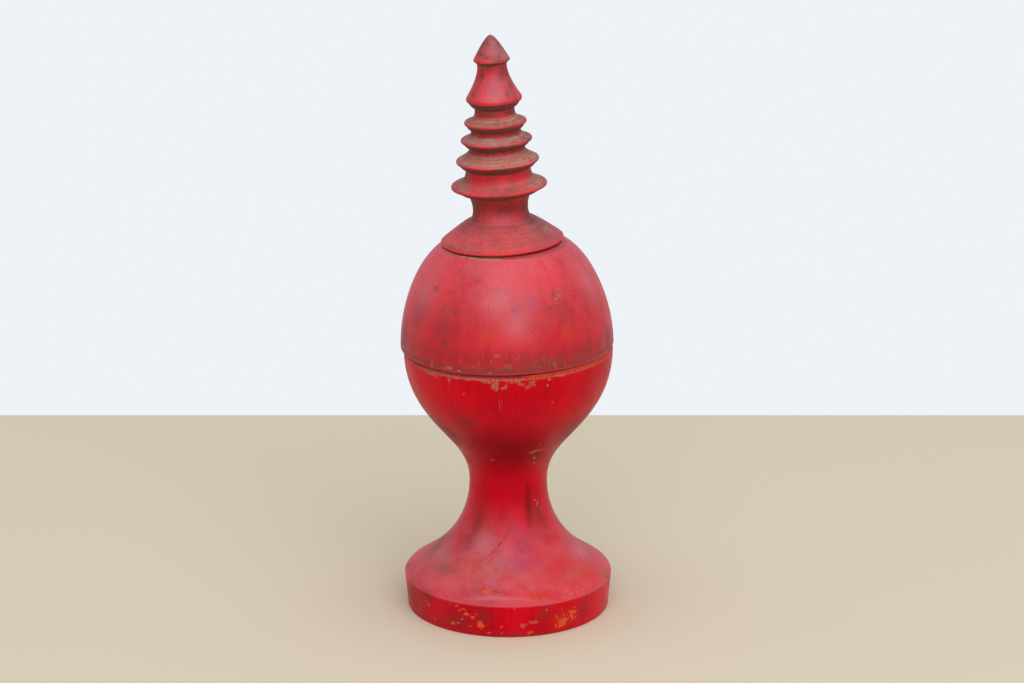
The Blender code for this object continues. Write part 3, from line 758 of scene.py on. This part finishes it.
class Nodes:
    """Builds one node tree: each method adds a node and returns the output that matters."""

    def __init__(self, tree):
        self.tree = tree

    def feed(self, node, links):
        """Feeds a node's sockets with values or with other nodes' outputs."""
        for socket, value in links.items():
            if isinstance(value, bpy.types.NodeSocket):
                self.tree.links.new(value, node.inputs[socket])
            else:
                node.inputs[socket].default_value = value

    def add(self, kind, links, **settings):
        node = self.tree.nodes.new(kind)
        for name, value in settings.items():
            setattr(node, name, value)
        self.feed(node, links)
        return node

    def math(self, operation, first, second=0.0, clamp=False):
        links = {0: first, 1: second}
        return self.add("ShaderNodeMath", links, operation=operation, use_clamp=clamp).outputs[0]

    def times(self, first, *others, clamp=False):
        for place, other in enumerate(others, 1):
            first = self.math("MULTIPLY", first, other, clamp and place == len(others))
        return first

    def plus(self, first, *others):
        for other in others:
            first = self.math("ADD", first, other)
        return first

    def minus(self, first, second, clamp=False):
        return self.math("SUBTRACT", first, second, clamp)

    def largest(self, first, *others):
        for other in others:
            first = self.math("MAXIMUM", first, other)
        return first

    def vector_math(self, operation, *vectors):
        return self.add("ShaderNodeVectorMath", dict(enumerate(vectors)), operation=operation).outputs

    def split(self, vector):
        return tuple(self.add("ShaderNodeSeparateXYZ", {0: vector}).outputs)

    def join(self, *parts):
        return self.add("ShaderNodeCombineXYZ", dict(enumerate(parts))).outputs[0]

    def ramp(self, value, low, high, start=0.0, end=1.0):
        """Smoothly turns a value between low and high into one between start and end."""
        links = {"Value": value, "From Min": low, "From Max": high, "To Min": start, "To Max": end}
        return self.add("ShaderNodeMapRange", links, interpolation_type="SMOOTHSTEP").outputs["Result"]

    def between(self, amount, first, second):
        """A value part of the way from the first to the second."""
        return self.add("ShaderNodeMix", {0: amount, 2: first, 3: second}, data_type="FLOAT").outputs[0]

    def blend(self, amount, under, over):
        """Lays one colour over another."""
        links = {0: amount}
        for socket, colour in ((6, under), (7, over)):
            links[socket] = colour if isinstance(colour, bpy.types.NodeSocket) else (*colour, 1.0)
        return self.add("ShaderNodeMix", links, data_type="RGBA").outputs[2]

    def noise(self, vector, scale, detail=3.0, roughness=0.5, distortion=0.0):
        """The scale is in features per metre."""
        links = {"Vector": vector, "Scale": scale, "Detail": detail, "Roughness": roughness,
                 "Distortion": distortion}
        return self.add("ShaderNodeTexNoise", links).outputs["Fac"]

    def stretch(self, vector, scale, shift=(0.0, 0.0, 0.0)):
        links = {"Vector": vector, "Scale": scale, "Location": shift}
        return self.add("ShaderNodeMapping", links).outputs["Vector"]

    def field(self, name):
        """One of the piece's own marks or reliefs."""
        return self.add("ShaderNodeAttribute", {}, attribute_name=name).outputs["Fac"]

    def effect(self, work, **values):
        """Places a shared effect, building its group the first time."""
        group = bpy.data.node_groups.get(work.__name__) or make_group(work)
        links = {label.replace("_", " "): value for label, value in values.items()}
        return self.add("ShaderNodeGroup", links, node_tree=group).outputs


def make_group(work):
    """Builds an effect's node group, with an output for each value that the effect returns."""
    tree = bpy.data.node_groups.new(work.__name__, "ShaderNodeTree")
    for label, value in EFFECTS[work].items():
        kind = "NodeSocketVector" if value is None else "NodeSocketFloat"
        socket = tree.interface.new_socket(label, in_out="INPUT", socket_type=kind)
        if value is not None:
            socket.default_value = value
    results = work(Nodes(tree), tree.nodes.new("NodeGroupInput").outputs)
    for label in results:
        tree.interface.new_socket(label, in_out="OUTPUT", socket_type="NodeSocketFloat")
    Nodes(tree).feed(tree.nodes.new("NodeGroupOutput"), results)
    return tree


# ---------------------------------------------------------------- shared effects

HAIRLINE_WAVER = 1.4 * MM
HAIRLINE_REACH = 6.0 * MM           # how far in front of and behind its middle a hairline still shows
HAIRLINE_THINNEST = 0.001 * MM
TURNING_UNEVENNESS = 0.03           # how much the turning lines change from side to side


def wood_grain(n, given):
    """Upright grain: hair-fine pores, broader streaks and short hairs."""
    where = given["Vector"]
    return {"Fine": n.noise(n.stretch(where, (1, 1, 0.05)), 2300, detail=2),
            "Streak": n.noise(n.stretch(where, (1, 1, 0.07)), 300, distortion=0.3),
            "Hair": n.noise(n.stretch(where, (1, 1, 0.2)), 2100, detail=2, roughness=0.7, distortion=0.6)}


def turning_lines(n, given):
    """Fine lines round the piece, left by the turning tool."""
    x, y, z = n.split(given["Vector"])
    radius = n.vector_math("LENGTH", n.join(x, y))["Value"]
    return {"Lines": n.noise(n.join(radius, z, n.times(x, TURNING_UNEVENNESS)), 1900)}


def lacquer_mottle(n, given):
    """Cloudy variation of an old hand-laid finish, at three sizes."""
    where = given["Vector"]
    return {"Broad": n.noise(n.stretch(where, (1, 1, 0.6)), 55, distortion=0.4),
            "Cloudy": n.noise(n.stretch(where, (1, 1, 0.75), (0.3, 0.1, 0.2)), 210, detail=4, roughness=0.6),
            "Grainy": n.noise(where, 1100, roughness=0.65)}


def broken_edge(n, given):
    """Turns a mark's field into a mask with a ragged edge, and the thin border left round it."""
    coarse = n.minus(n.noise(given["Vector"], 650, roughness=0.6), 0.5)
    fine = n.minus(n.noise(given["Vector"], 2100, roughness=0.7), 0.5)
    ragged = n.plus(given["Field"], n.plus(n.times(coarse, 1.8), n.times(fine, 3.4)))
    mask = n.ramp(ragged, 0.04, 0.20)
    return {"Mask": mask, "Border": n.minus(n.ramp(ragged, -0.30, 0.0), mask, clamp=True)}


def settled_dust(n, given):
    """Dust that lies on upward faces in rings, fills hollows, and is wiped off edges."""
    lying = n.ramp(n.split(given["Normal"])[2], 0.2, 0.8)
    sheltered = n.ramp(given["Relief"], 0.08, -0.03)
    cloud = n.noise(given["Vector"], 380, detail=5, roughness=0.75)
    patchy = n.ramp(n.plus(n.times(cloud, 0.55), n.times(given["Lines"], 0.45)), 0.36, 0.56)
    return {"Mask": n.times(lying, sheltered, given["Zone"], patchy, given["Amount"], clamp=True)}


def grit(n, given):
    """Fine clotted dirt, dark and pale, that gathers in uneven drifts."""
    where = given["Vector"]
    moved = n.stretch(where, (1, 1, 1), (0.7, 0.2, 0.4))
    dark = n.times(n.ramp(n.noise(where, 1700, roughness=0.7), 0.50, 0.66),
                   n.ramp(n.noise(where, 260), 0.38, 0.62))
    pale = n.times(n.ramp(n.noise(moved, 1900, detail=2, roughness=0.7), 0.62, 0.74),
                   n.ramp(n.noise(moved, 230), 0.42, 0.66))
    return {"Dark": dark, "Pale": pale}


def scuffs(n, given):
    """Breaks hairs of grain or tool lines up into short pale scuffs."""
    broken = n.ramp(n.noise(given["Vector"], 520, detail=2), 0.42, 0.60)
    return {"Mask": n.times(n.ramp(given["Hair"], 0.54, 0.64), broken, given["Zone"], clamp=True)}


def hairline(n, given):
    """One crack or scratch: a thin wavering line about a point, along a direction on the surface."""
    offset = n.vector_math("SUBTRACT", given["Vector"], given["Centre"])[0]
    across, along, out = (n.vector_math("DOT_PRODUCT", offset, given[direction])["Value"]
                          for direction in ("Across", "Along", "Out"))
    side = n.plus(across, n.times(n.minus(n.noise(given["Vector"], 420), 0.5), HAIRLINE_WAVER))
    along = n.math("DIVIDE", n.math("ABSOLUTE", along), given["Half Length"])
    near = n.math("LESS_THAN", n.math("ABSOLUTE", out), HAIRLINE_REACH)
    width = n.plus(n.times(n.ramp(along, 1.0, 0.3), given["Half Width"]), HAIRLINE_THINNEST)
    line = n.ramp(n.math("DIVIDE", n.math("ABSOLUTE", side), width), 1.2, 0.6)
    return {"Mask": n.times(line, n.math("LESS_THAN", along, 1.0), near)}


EFFECTS = {  # the inputs of each effect's group, with None for a vector
    wood_grain: {"Vector": None},
    turning_lines: {"Vector": None},
    lacquer_mottle: {"Vector": None},
    broken_edge: {"Vector": None, "Field": -1.0},
    settled_dust: {"Vector": None, "Normal": None, "Relief": 0.0, "Lines": 0.5, "Zone": 0.0, "Amount": 1.0},
    grit: {"Vector": None},
    scuffs: {"Vector": None, "Hair": 0.5, "Zone": 0.0},
    hairline: {"Vector": None, "Centre": None, "Along": None, "Across": None, "Out": None,
               "Half Length": 2.0 * MM, "Half Width": 0.2 * MM},
}


# ---------------------------------------------------------------- lacquer

Look = namedtuple("Look", "clouds thick bloom dust film grime under grit pores streaks turned worn_edges"
                          " pale_edges roughness specular tint sheen lines")
# how strong each effect is on one piece: 0 is none; the tint is the colour of its reflections. The deep tone
# also paints shade, the haze also paints sheen, the underside grime also paints shade, and the pale edges are
# a painted highlight.

Hairline = namedtuple("Hairline", "azimuth height half_length half_width slant")
# azimuth and slant in degrees (0 is level), the rest in millimetres

Surface = namedtuple("Surface", "where facing upward relief grain lines mottle grit warm")
# what every layer of the material asks about the surface

ORANGE_STRENGTH = 0.75
MARKED_HAZE_AND_HIGHLIGHT = 0.20
VIOLET_STRENGTH = 0.42
SCUFF_STRENGTH = 0.6
SCRATCH_STRENGTH = 0.55
CRACK_STRENGTH = 0.8
CHIP_STRENGTH = 0.85
CHIP_BORDER = 0.5
DIRT_DULLNESS = 0.6
DULL_ROUGHNESS = 0.85
SHEEN_ROUGHNESS = 0.4
BUMP_STRENGTH = 0.5
BUMP_DEPTH = 0.12 * MM

PEDESTAL_LOOK = Look(
    clouds=0.35, thick=1.0, bloom=0.30, dust=0.35, film=0.0, grime=0.7, under=0.0, grit=0.24, pores=0.12,
    streaks=0.30, turned=0.0, worn_edges=0.8, pale_edges=0.45, roughness=0.36, specular=0.16,
    tint=(1.0, 0.12, 0.18), sheen=0.12, lines=0.3)
LID_LOOK = Look(
    clouds=0.3, thick=0.62, bloom=0.20, dust=2.5, film=0.0, grime=0.80, under=0.0, grit=0.28, pores=0.30,
    streaks=0.34, turned=0.0, worn_edges=0.4, pale_edges=0.2, roughness=0.38, specular=0.45,
    tint=(1.0, 0.85, 0.9), sheen=0.24, lines=0.2)
FINIAL_LOOK = Look(
    clouds=0.75, thick=1.0, bloom=0.20, dust=1.0, film=0.25, grime=1.0, under=0.95, grit=0.65, pores=0.2,
    streaks=0.45, turned=0.6, worn_edges=0.9, pale_edges=0.05, roughness=0.46, specular=0.4,
    tint=(1.0, 0.8, 0.85), sheen=0.08, lines=0.42)

CRACKS = (
    Hairline(-1.5, 30.2, 2.6, 0.10, 62), Hairline(-9.0, 27.4, 1.7, 0.20, 48),
    Hairline(-16.0, 25.0, 3.0, 0.14, 50), Hairline(-22.5, 22.6, 1.8, 0.10, 52),
    Hairline(68.0, 85.5, 4.2, 0.11, 88),
)
BOWL_SCRATCHES = (
    Hairline(-3.6, 82.0, 3.0, 0.09, 98), Hairline(-2.8, 83.2, 1.6, 0.05, 94),
    Hairline(-33.0, 86.5, 2.2, 0.04, 92), Hairline(3.0, 80.2, 1.2, 0.04, 84),
)
LID_CRACKS = (Hairline(26.0, 114.0, 1.8, 0.12, 30), Hairline(-35.5, 101.5, 1.9, 0.16, -30))
LID_SCRATCHES = (
    Hairline(33.5, 118.8, 1.7, 0.08, -20), Hairline(36.0, 116.2, 1.6, 0.07, -50),
    Hairline(-5.9, 99.8, 0.9, 0.09, -10), Hairline(-23.0, 95.2, 0.8, 0.07, 70),
    Hairline(-21.0, 94.9, 1.0, 0.06, 110), Hairline(-19.0, 95.3, 0.9, 0.08, 60),
    Hairline(-17.0, 94.8, 0.9, 0.06, 95), Hairline(-15.0, 95.0, 0.7, 0.07, 125),
)


def lay_hairlines(n, where, piece, hairlines):
    """A mask of a piece's own cracks or scratches."""
    places, normals = vertex_values(piece, "co"), vertex_values(piece, "normal")
    total = 0.0
    for line in hairlines:
        mark = Mark(line.azimuth, line.height, 1.0, 1.0, line.slant)
        centre, along, across, out = mark_frame(places, normals, mark)
        mask = n.effect(hairline, Vector=where, Centre=tuple(centre), Along=tuple(along),
                        Across=tuple(across), Out=tuple(out), Half_Length=line.half_length * MM,
                        Half_Width=line.half_width * MM)["Mask"]
        total = n.largest(mask, total)
    return total


def read_surface(n, place):
    source = n.add("ShaderNodeTexCoord", {}).outputs
    where, facing = source["Object"], source["Normal"]
    back = place.inverted()
    on_axis = n.add("ShaderNodeMapping", {"Vector": where, "Location": back.to_translation(),
                                          "Rotation": back.to_euler()}).outputs["Vector"]
    mottle = n.effect(lacquer_mottle, Vector=where)
    return Surface(
        where=where, facing=facing, upward=n.split(facing)[2], relief=n.field("relief"),
        grain=n.effect(wood_grain, Vector=where), lines=n.effect(turning_lines, Vector=on_axis)["Lines"],
        mottle=mottle, grit=n.effect(grit, Vector=where),
        warm=n.times(n.field("warm"), n.ramp(mottle["Cloudy"], 0.28, 0.55)))


def lacquer_tone_and_shade(n, at, colours, look):
    """Deep and bright clouds, deeper lacquer together with painted shade where the marked field lies, upright
    streaks and thin orange places.
    """
    clouds = n.ramp(at.mottle["Broad"], 0.36, 0.62, look.clouds, 0.0)
    # the marked field paints shade in deep red where less light falls, as well as thicker lacquer
    deep = n.largest(clouds, n.times(n.field("thick"), look.thick))
    tone = n.blend(deep, colours.bright, colours.deep)
    tone = n.blend(n.times(n.ramp(at.grain["Streak"], 0.52, 0.72), look.streaks), tone, colours.deep)
    return n.blend(n.times(at.warm, ORANGE_STRENGTH), tone, colours.orange)


def lay_haze_and_sheen(n, at, colours, look, tone):
    """The haze of dry lacquer with painted sheen on upward faces and painted highlights on marked places,
    then violet patches and dirt in the pores of the grain.
    """
    # upward faces paler: dry bloom together with painted sheen of the light from above
    dry = n.times(n.ramp(at.upward, 0.0, 0.8), n.ramp(at.mottle["Cloudy"], 0.25, 0.7, 0.45, 1.0))
    haze = n.times(dry, look.bloom, n.minus(1.0, n.times(at.warm, 0.8)))
    tone = n.blend(n.plus(haze, n.times(n.field("haze_and_highlight"), MARKED_HAZE_AND_HIGHLIGHT)), tone, colours.bloom)
    tone = n.blend(n.times(n.field("cool"), VIOLET_STRENGTH), tone, colours.violet)
    tone = n.blend(n.times(n.ramp(at.grain["Fine"], 0.52, 0.72), look.pores), tone, colours.grime)
    return n.blend(n.times(at.grit["Dark"], look.grit), tone, colours.grime)


def lay_grime_and_shade(n, at, colours, look, tone):
    """Worn rims show bright red with a painted highlight, and hollows, undersides and marked places hold
    grime and painted shade.
    """
    worn = n.times(n.ramp(at.relief, 0.05, 0.14), look.worn_edges, n.ramp(at.upward, -0.6, -0.1))
    # worn rims: bright red where grime is rubbed off, with a painted highlight towards the bloom colour
    tone = n.blend(worn, tone, n.blend(look.pale_edges, colours.bright, colours.bloom))
    # grooves and whole hollows darken: grime together with painted shade where less light reaches
    sunk = n.largest(n.ramp(at.relief, -0.03, -0.16), n.ramp(n.field("hollow"), -0.08, -0.55))
    sunk = n.times(sunk, n.ramp(at.mottle["Cloudy"], 0.30, 0.60, 0.55, 1.0))
    # downward faces darken: painted shade with some grime
    below = n.times(n.ramp(at.upward, -0.15, -0.6), look.under)
    drift = n.between(0.5, at.mottle["Grainy"], at.grain["Hair"])
    # grime marks, some of which are painted shade under rims and lips
    patch = n.times(n.field("grime"), n.ramp(drift, 0.43, 0.60, 0.36, 1.0))
    dirt = n.times(n.largest(sunk, below, patch), look.grime, clamp=True)
    return n.blend(dirt, tone, colours.grime), dirt


def lay_dust(n, at, colours, look, tone):
    """Dust in rings or clots on upward faces, and pale grit."""
    drawn = n.between(look.turned, at.mottle["Grainy"], at.lines)
    zone = n.largest(n.field("dust"), look.film)
    dust = n.effect(settled_dust, Vector=at.where, Normal=at.facing, Relief=at.relief, Lines=drawn,
                    Zone=zone, Amount=look.dust)["Mask"]
    dust = n.largest(dust, n.times(at.grit["Pale"], look.grit))
    lighter = n.times(n.ramp(at.lines, 0.46, 0.64), 0.2 + 0.4 * look.turned)
    return n.blend(dust, tone, n.blend(lighter, colours.dust, colours.pale_dust)), dust


def lay_scuffs(n, at, colours, look, tone, scratched):
    """Short pale scuffs along the grain or the tool's lines, and the piece's own scratches."""
    hair = n.between(look.turned, at.grain["Hair"], at.lines)
    scuffed = n.effect(scuffs, Vector=at.where, Hair=hair, Zone=n.field("scuffed"))["Mask"]
    pale = n.largest(n.times(scuffed, SCUFF_STRENGTH), n.times(scratched, SCRATCH_STRENGTH))
    return n.blend(pale, tone, colours.wood)


def lay_chips(n, at, colours, tone):
    """Red, undercoat and wood all show through one another where the lacquer has broken away."""
    ground = n.effect(broken_edge, Vector=at.where, Field=n.field("undercoat"))
    bare = n.effect(broken_edge, Vector=at.where, Field=n.field("bare"))
    grainy = at.mottle["Grainy"]
    through = n.blend(n.ramp(grainy, 0.52, 0.70), colours.undercoat, colours.wood)
    shown = n.largest(n.times(ground["Mask"], CHIP_STRENGTH), n.times(bare["Border"], CHIP_BORDER))
    wood = n.blend(n.ramp(grainy, 0.52, 0.36, 0.0, 0.75), colours.wood, colours.undercoat)
    wood = n.blend(n.ramp(at.grain["Hair"], 0.40, 0.62, 0.0, 0.6), wood, colours.grime)
    tone = n.blend(n.times(bare["Mask"], CHIP_STRENGTH), n.blend(shown, tone, through), wood)
    return tone, bare["Mask"], ground["Mask"]


def lacquer_material(name, piece, colours, look, place, cracks=(), scratches=()):
    """Old red lacquer over wood, from sound gloss through haze, grime and dust down to bare chips, with
    painted shade and painted highlights in its colour.

    The place is that of the axis on which the piece was turned.
    """
    material = bpy.data.materials.new(name)
    material.use_nodes = True
    n = Nodes(material.node_tree)
    at = read_surface(n, place)
    cracked = lay_hairlines(n, at.where, piece, cracks)
    scratched = lay_hairlines(n, at.where, piece, scratches)
    tone = lacquer_tone_and_shade(n, at, colours, look)
    tone = lay_haze_and_sheen(n, at, colours, look, tone)
    tone, dirt = lay_grime_and_shade(n, at, colours, look, tone)
    tone, dust = lay_dust(n, at, colours, look, tone)
    tone = lay_scuffs(n, at, colours, look, tone, scratched)
    tone = n.blend(n.times(cracked, CRACK_STRENGTH), tone, colours.grime)
    tone, bare, ground = lay_chips(n, at, colours, tone)

    # dust, dirt together with its painted shade, and bare wood are dull, and handled lacquer is polished in
    # clouds
    dull = n.largest(dust, bare, n.times(dirt, DIRT_DULLNESS))
    polish = n.ramp(at.mottle["Cloudy"], 0.3, 0.7, look.roughness - 0.06, look.roughness + 0.10)

    # grain, tool lines and clotted dust stand up, and chips and cracks lie low
    grainy = at.mottle["Grainy"]
    height = n.plus(n.times(at.grain["Fine"], 0.35), n.times(at.lines, look.lines), n.times(grainy, 0.25))
    height = n.minus(height, n.largest(bare, n.times(ground, 0.6), cracked))
    height = n.plus(height, n.times(dust, grainy))
    bump = n.add("ShaderNodeBump", {"Height": height, "Strength": BUMP_STRENGTH, "Distance": BUMP_DEPTH})
    n.feed(material.node_tree.nodes["Principled BSDF"], {
        "Base Color": tone,
        "Roughness": n.between(dull, polish, DULL_ROUGHNESS),
        "Specular IOR Level": look.specular,
        "Specular Tint": (*look.tint, 1.0),
        "Sheen Weight": look.sheen,
        "Sheen Roughness": SHEEN_ROUGHNESS,
        "Sheen Tint": (*colours.bloom, 1.0),
        "Normal": bump.outputs["Normal"],
    })
    piece.data.materials.clear()
    piece.data.materials.append(material)


# ---------------------------------------------------------------- operators

SIZE_TOLERANCE = 1.5 * MM           # between a piece and the plain solid that it stands for


def frame_piece(piece, node, body):
    """Ties a finished piece to the frame: it rides on its body and stands for its plain solid."""
    low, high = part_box(node)
    dimensions = piece.dimensions
    if (high - low - dimensions).length > SIZE_TOLERANCE:
        raise RuntimeError(f"{piece.name} measures {tuple(dimensions)}, and its solid {tuple(high - low)}")
    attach(piece, body)
    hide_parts(node)


class PEDESTALBOX_OT_turn_pedestal(bpy.types.Operator):
    """Turns the foot, stem and bowl, ages their lacquer, and paints in shade and highlights"""
    bl_idname = "pedestal_box.turn_pedestal"
    bl_label = "Turn the Pedestal Bowl"

    def execute(self, context):
        scene = context.scene
        piece = turn_pedestal(scene.pedestal_sizes)
        age_piece(piece, PEDESTAL_WEAR)
        lacquer_material("bowl_red_lacquer", piece, scene.lacquer_colours, PEDESTAL_LOOK, Matrix(), CRACKS,
                         BOWL_SCRATCHES)
        frame_piece(piece, "pedestal_bowl", "pedestal")
        return {"FINISHED"}


class PEDESTALBOX_OT_turn_lid(bpy.types.Operator):
    """Turns the hollow domed lid, bores its crown, ages its lacquer, and paints in shade and highlights"""
    bl_idname = "pedestal_box.turn_lid"
    bl_label = "Turn the Lid"

    def execute(self, context):
        scene = context.scene
        piece = turn_lid(scene.pedestal_sizes, scene.lid_sizes, scene.finial_sizes)
        age_piece(piece, LID_WEAR)
        place = lid_place(scene.pedestal_sizes, scene.lid_sizes)
        lacquer_material("lid_red_lacquer", piece, scene.lacquer_colours, LID_LOOK, place, LID_CRACKS,
                         LID_SCRATCHES)
        frame_piece(piece, "lid_dome", "lid")
        return {"FINISHED"}


class PEDESTALBOX_OT_turn_finial(bpy.types.Operator):
    """Turns the ringed finial, ages its lacquer, and paints in shade and highlights"""
    bl_idname = "pedestal_box.turn_finial"
    bl_label = "Turn the Finial"

    def execute(self, context):
        scene = context.scene
        piece = turn_finial(scene.pedestal_sizes, scene.lid_sizes, scene.finial_sizes)
        age_piece(piece, FINIAL_WEAR)
        place = finial_place(scene.pedestal_sizes, scene.lid_sizes, scene.finial_sizes)
        lacquer_material("finial_red_lacquer", piece, scene.lacquer_colours, FINIAL_LOOK, place)
        frame_piece(piece, "finial", "lid")
        return {"FINISHED"}


class PEDESTALBOX_OT_set_stage(bpy.types.Operator):
    """Lays a plain pale floor, and sets soft lights and the camera"""
    bl_idname = "pedestal_box.set_stage"
    bl_label = "Set the Stage"

    def execute(self, context):
        look = context.scene.stage_look
        lay_floor(look)
        set_world(context.scene, look)
        set_lamps(context.scene)
        set_camera(context.scene, look)
        return {"FINISHED"}


# ---------------------------------------------------------------- stage

Lamp = namedtuple("Lamp", "name place wide deep power")
LAMPS = (  # metres and watts
    Lamp("front", (0.35, -1.85, 1.35), 2.4, 1.7, 24.0),
    Lamp("overhead", (0.1, -0.3, 1.7), 1.6, 1.6, 13.0),
)
LAMPS_AIM = Vector((0.0, 0.0, 0.1))
WORLD_LIGHT = 0.60                  # how strongly the pale world lights the object
FLOOR_ROUGHNESS = 0.8
FLOOR_SPECULAR = 0.2
FARTHEST_SEEN = 20.0


def lay_floor(look):
    depth = look.floor_reach + look.floor_back
    bpy.ops.mesh.primitive_plane_add(size=1.0, location=(0.0, look.floor_back - depth / 2, 0.0))
    floor = bpy.context.object
    floor.name = floor.data.name = "pale_floor"
    floor.scale = (2 * look.floor_reach, depth, 1.0)
    bpy.ops.object.transform_apply(location=True, rotation=True, scale=True)
    material = bpy.data.materials.new("pale_floor")
    material.use_nodes = True
    Nodes(material.node_tree).feed(material.node_tree.nodes["Principled BSDF"], {
        "Base Color": (*look.floor_colour, 1.0), "Roughness": FLOOR_ROUGHNESS,
        "Specular IOR Level": FLOOR_SPECULAR})
    floor.data.materials.append(material)


def set_world(scene, look):
    """A pale world that shows beyond the floor, and lights the object less strongly than it shows."""
    world = bpy.data.worlds.new("pale_room")
    scene.world = world
    world.use_nodes = True
    world.node_tree.nodes.clear()
    n = Nodes(world.node_tree)
    colour = (*look.backdrop_colour, 1.0)
    seen = n.add("ShaderNodeBackground", {"Color": colour, "Strength": 1.0})
    lit = n.add("ShaderNodeBackground", {"Color": colour, "Strength": WORLD_LIGHT})
    path = n.add("ShaderNodeLightPath", {})
    mix = n.add("ShaderNodeMixShader", {0: path.outputs["Is Camera Ray"], 1: lit.outputs[0],
                                        2: seen.outputs[0]})
    n.add("ShaderNodeOutputWorld", {"Surface": mix.outputs[0]})


def set_lamps(scene):
    """Wide soft lights overhead and in front."""
    for name, place, wide, deep, power in LAMPS:
        light = bpy.data.lights.new(name, "AREA")
        light.shape = "RECTANGLE"
        light.size = wide
        light.size_y = deep
        light.energy = power
        lamp = bpy.data.objects.new(name, light)
        lamp.location = place
        lamp.rotation_euler = (LAMPS_AIM - Vector(place)).to_track_quat("-Z", "Y").to_euler()
        scene.collection.objects.link(lamp)
    scene.view_settings.view_transform = "Standard"


def set_camera(scene, look):
    lens = bpy.data.cameras.new("camera")
    lens.lens = look.camera_lens
    lens.clip_end = FARTHEST_SEEN
    camera = bpy.data.objects.new("camera", lens)
    camera.location = (look.camera_side, -look.camera_distance, look.camera_height)
    camera.rotation_euler = (math.pi / 2 - look.camera_pitch, 0.0, 0.0)
    scene.collection.objects.link(camera)
    scene.camera = camera


# ---------------------------------------------------------------- panel

class PEDESTALBOX_PT_panel(bpy.types.Panel):
    """Lists what the add-on makes"""
    bl_label = "Pedestal Box"
    bl_idname = "PEDESTALBOX_PT_panel"
    bl_space_type = "VIEW_3D"
    bl_region_type = "UI"
    bl_category = "Pedestal Box"

    def draw(self, context):
        for operator in OPERATORS:
            self.layout.operator(operator.bl_idname)
        for name in SETTINGS:
            box = self.layout.box()
            settings = getattr(context.scene, name)
            for prop in settings.bl_rna.properties:
                if prop.identifier not in ("rna_type", "name"):
                    box.prop(settings, prop.identifier)


OPERATORS = (PEDESTALBOX_OT_turn_pedestal, PEDESTALBOX_OT_turn_lid, PEDESTALBOX_OT_turn_finial,
             PEDESTALBOX_OT_set_stage)
SETTINGS = {"pedestal_sizes": PedestalSizes, "lid_sizes": LidSizes, "finial_sizes": FinialSizes,
            "lacquer_colours": LacquerColours, "stage_look": StageLook}
CLASSES = (*SETTINGS.values(), *OPERATORS, PEDESTALBOX_PT_panel)


def register():
    for cls in CLASSES:
        bpy.utils.register_class(cls)
    for name, group in SETTINGS.items():
        setattr(bpy.types.Scene, name, bpy.props.PointerProperty(type=group))


def unregister():
    for name in SETTINGS:
        delattr(bpy.types.Scene, name)
    for cls in reversed(CLASSES):
        bpy.utils.unregister_class(cls)


def main():
    register()
    bpy.ops.pedestal_box.turn_pedestal()
    bpy.ops.pedestal_box.turn_lid()
    bpy.ops.pedestal_box.turn_finial()
    bpy.ops.pedestal_box.set_stage()


if __name__ == "__main__":
    main()
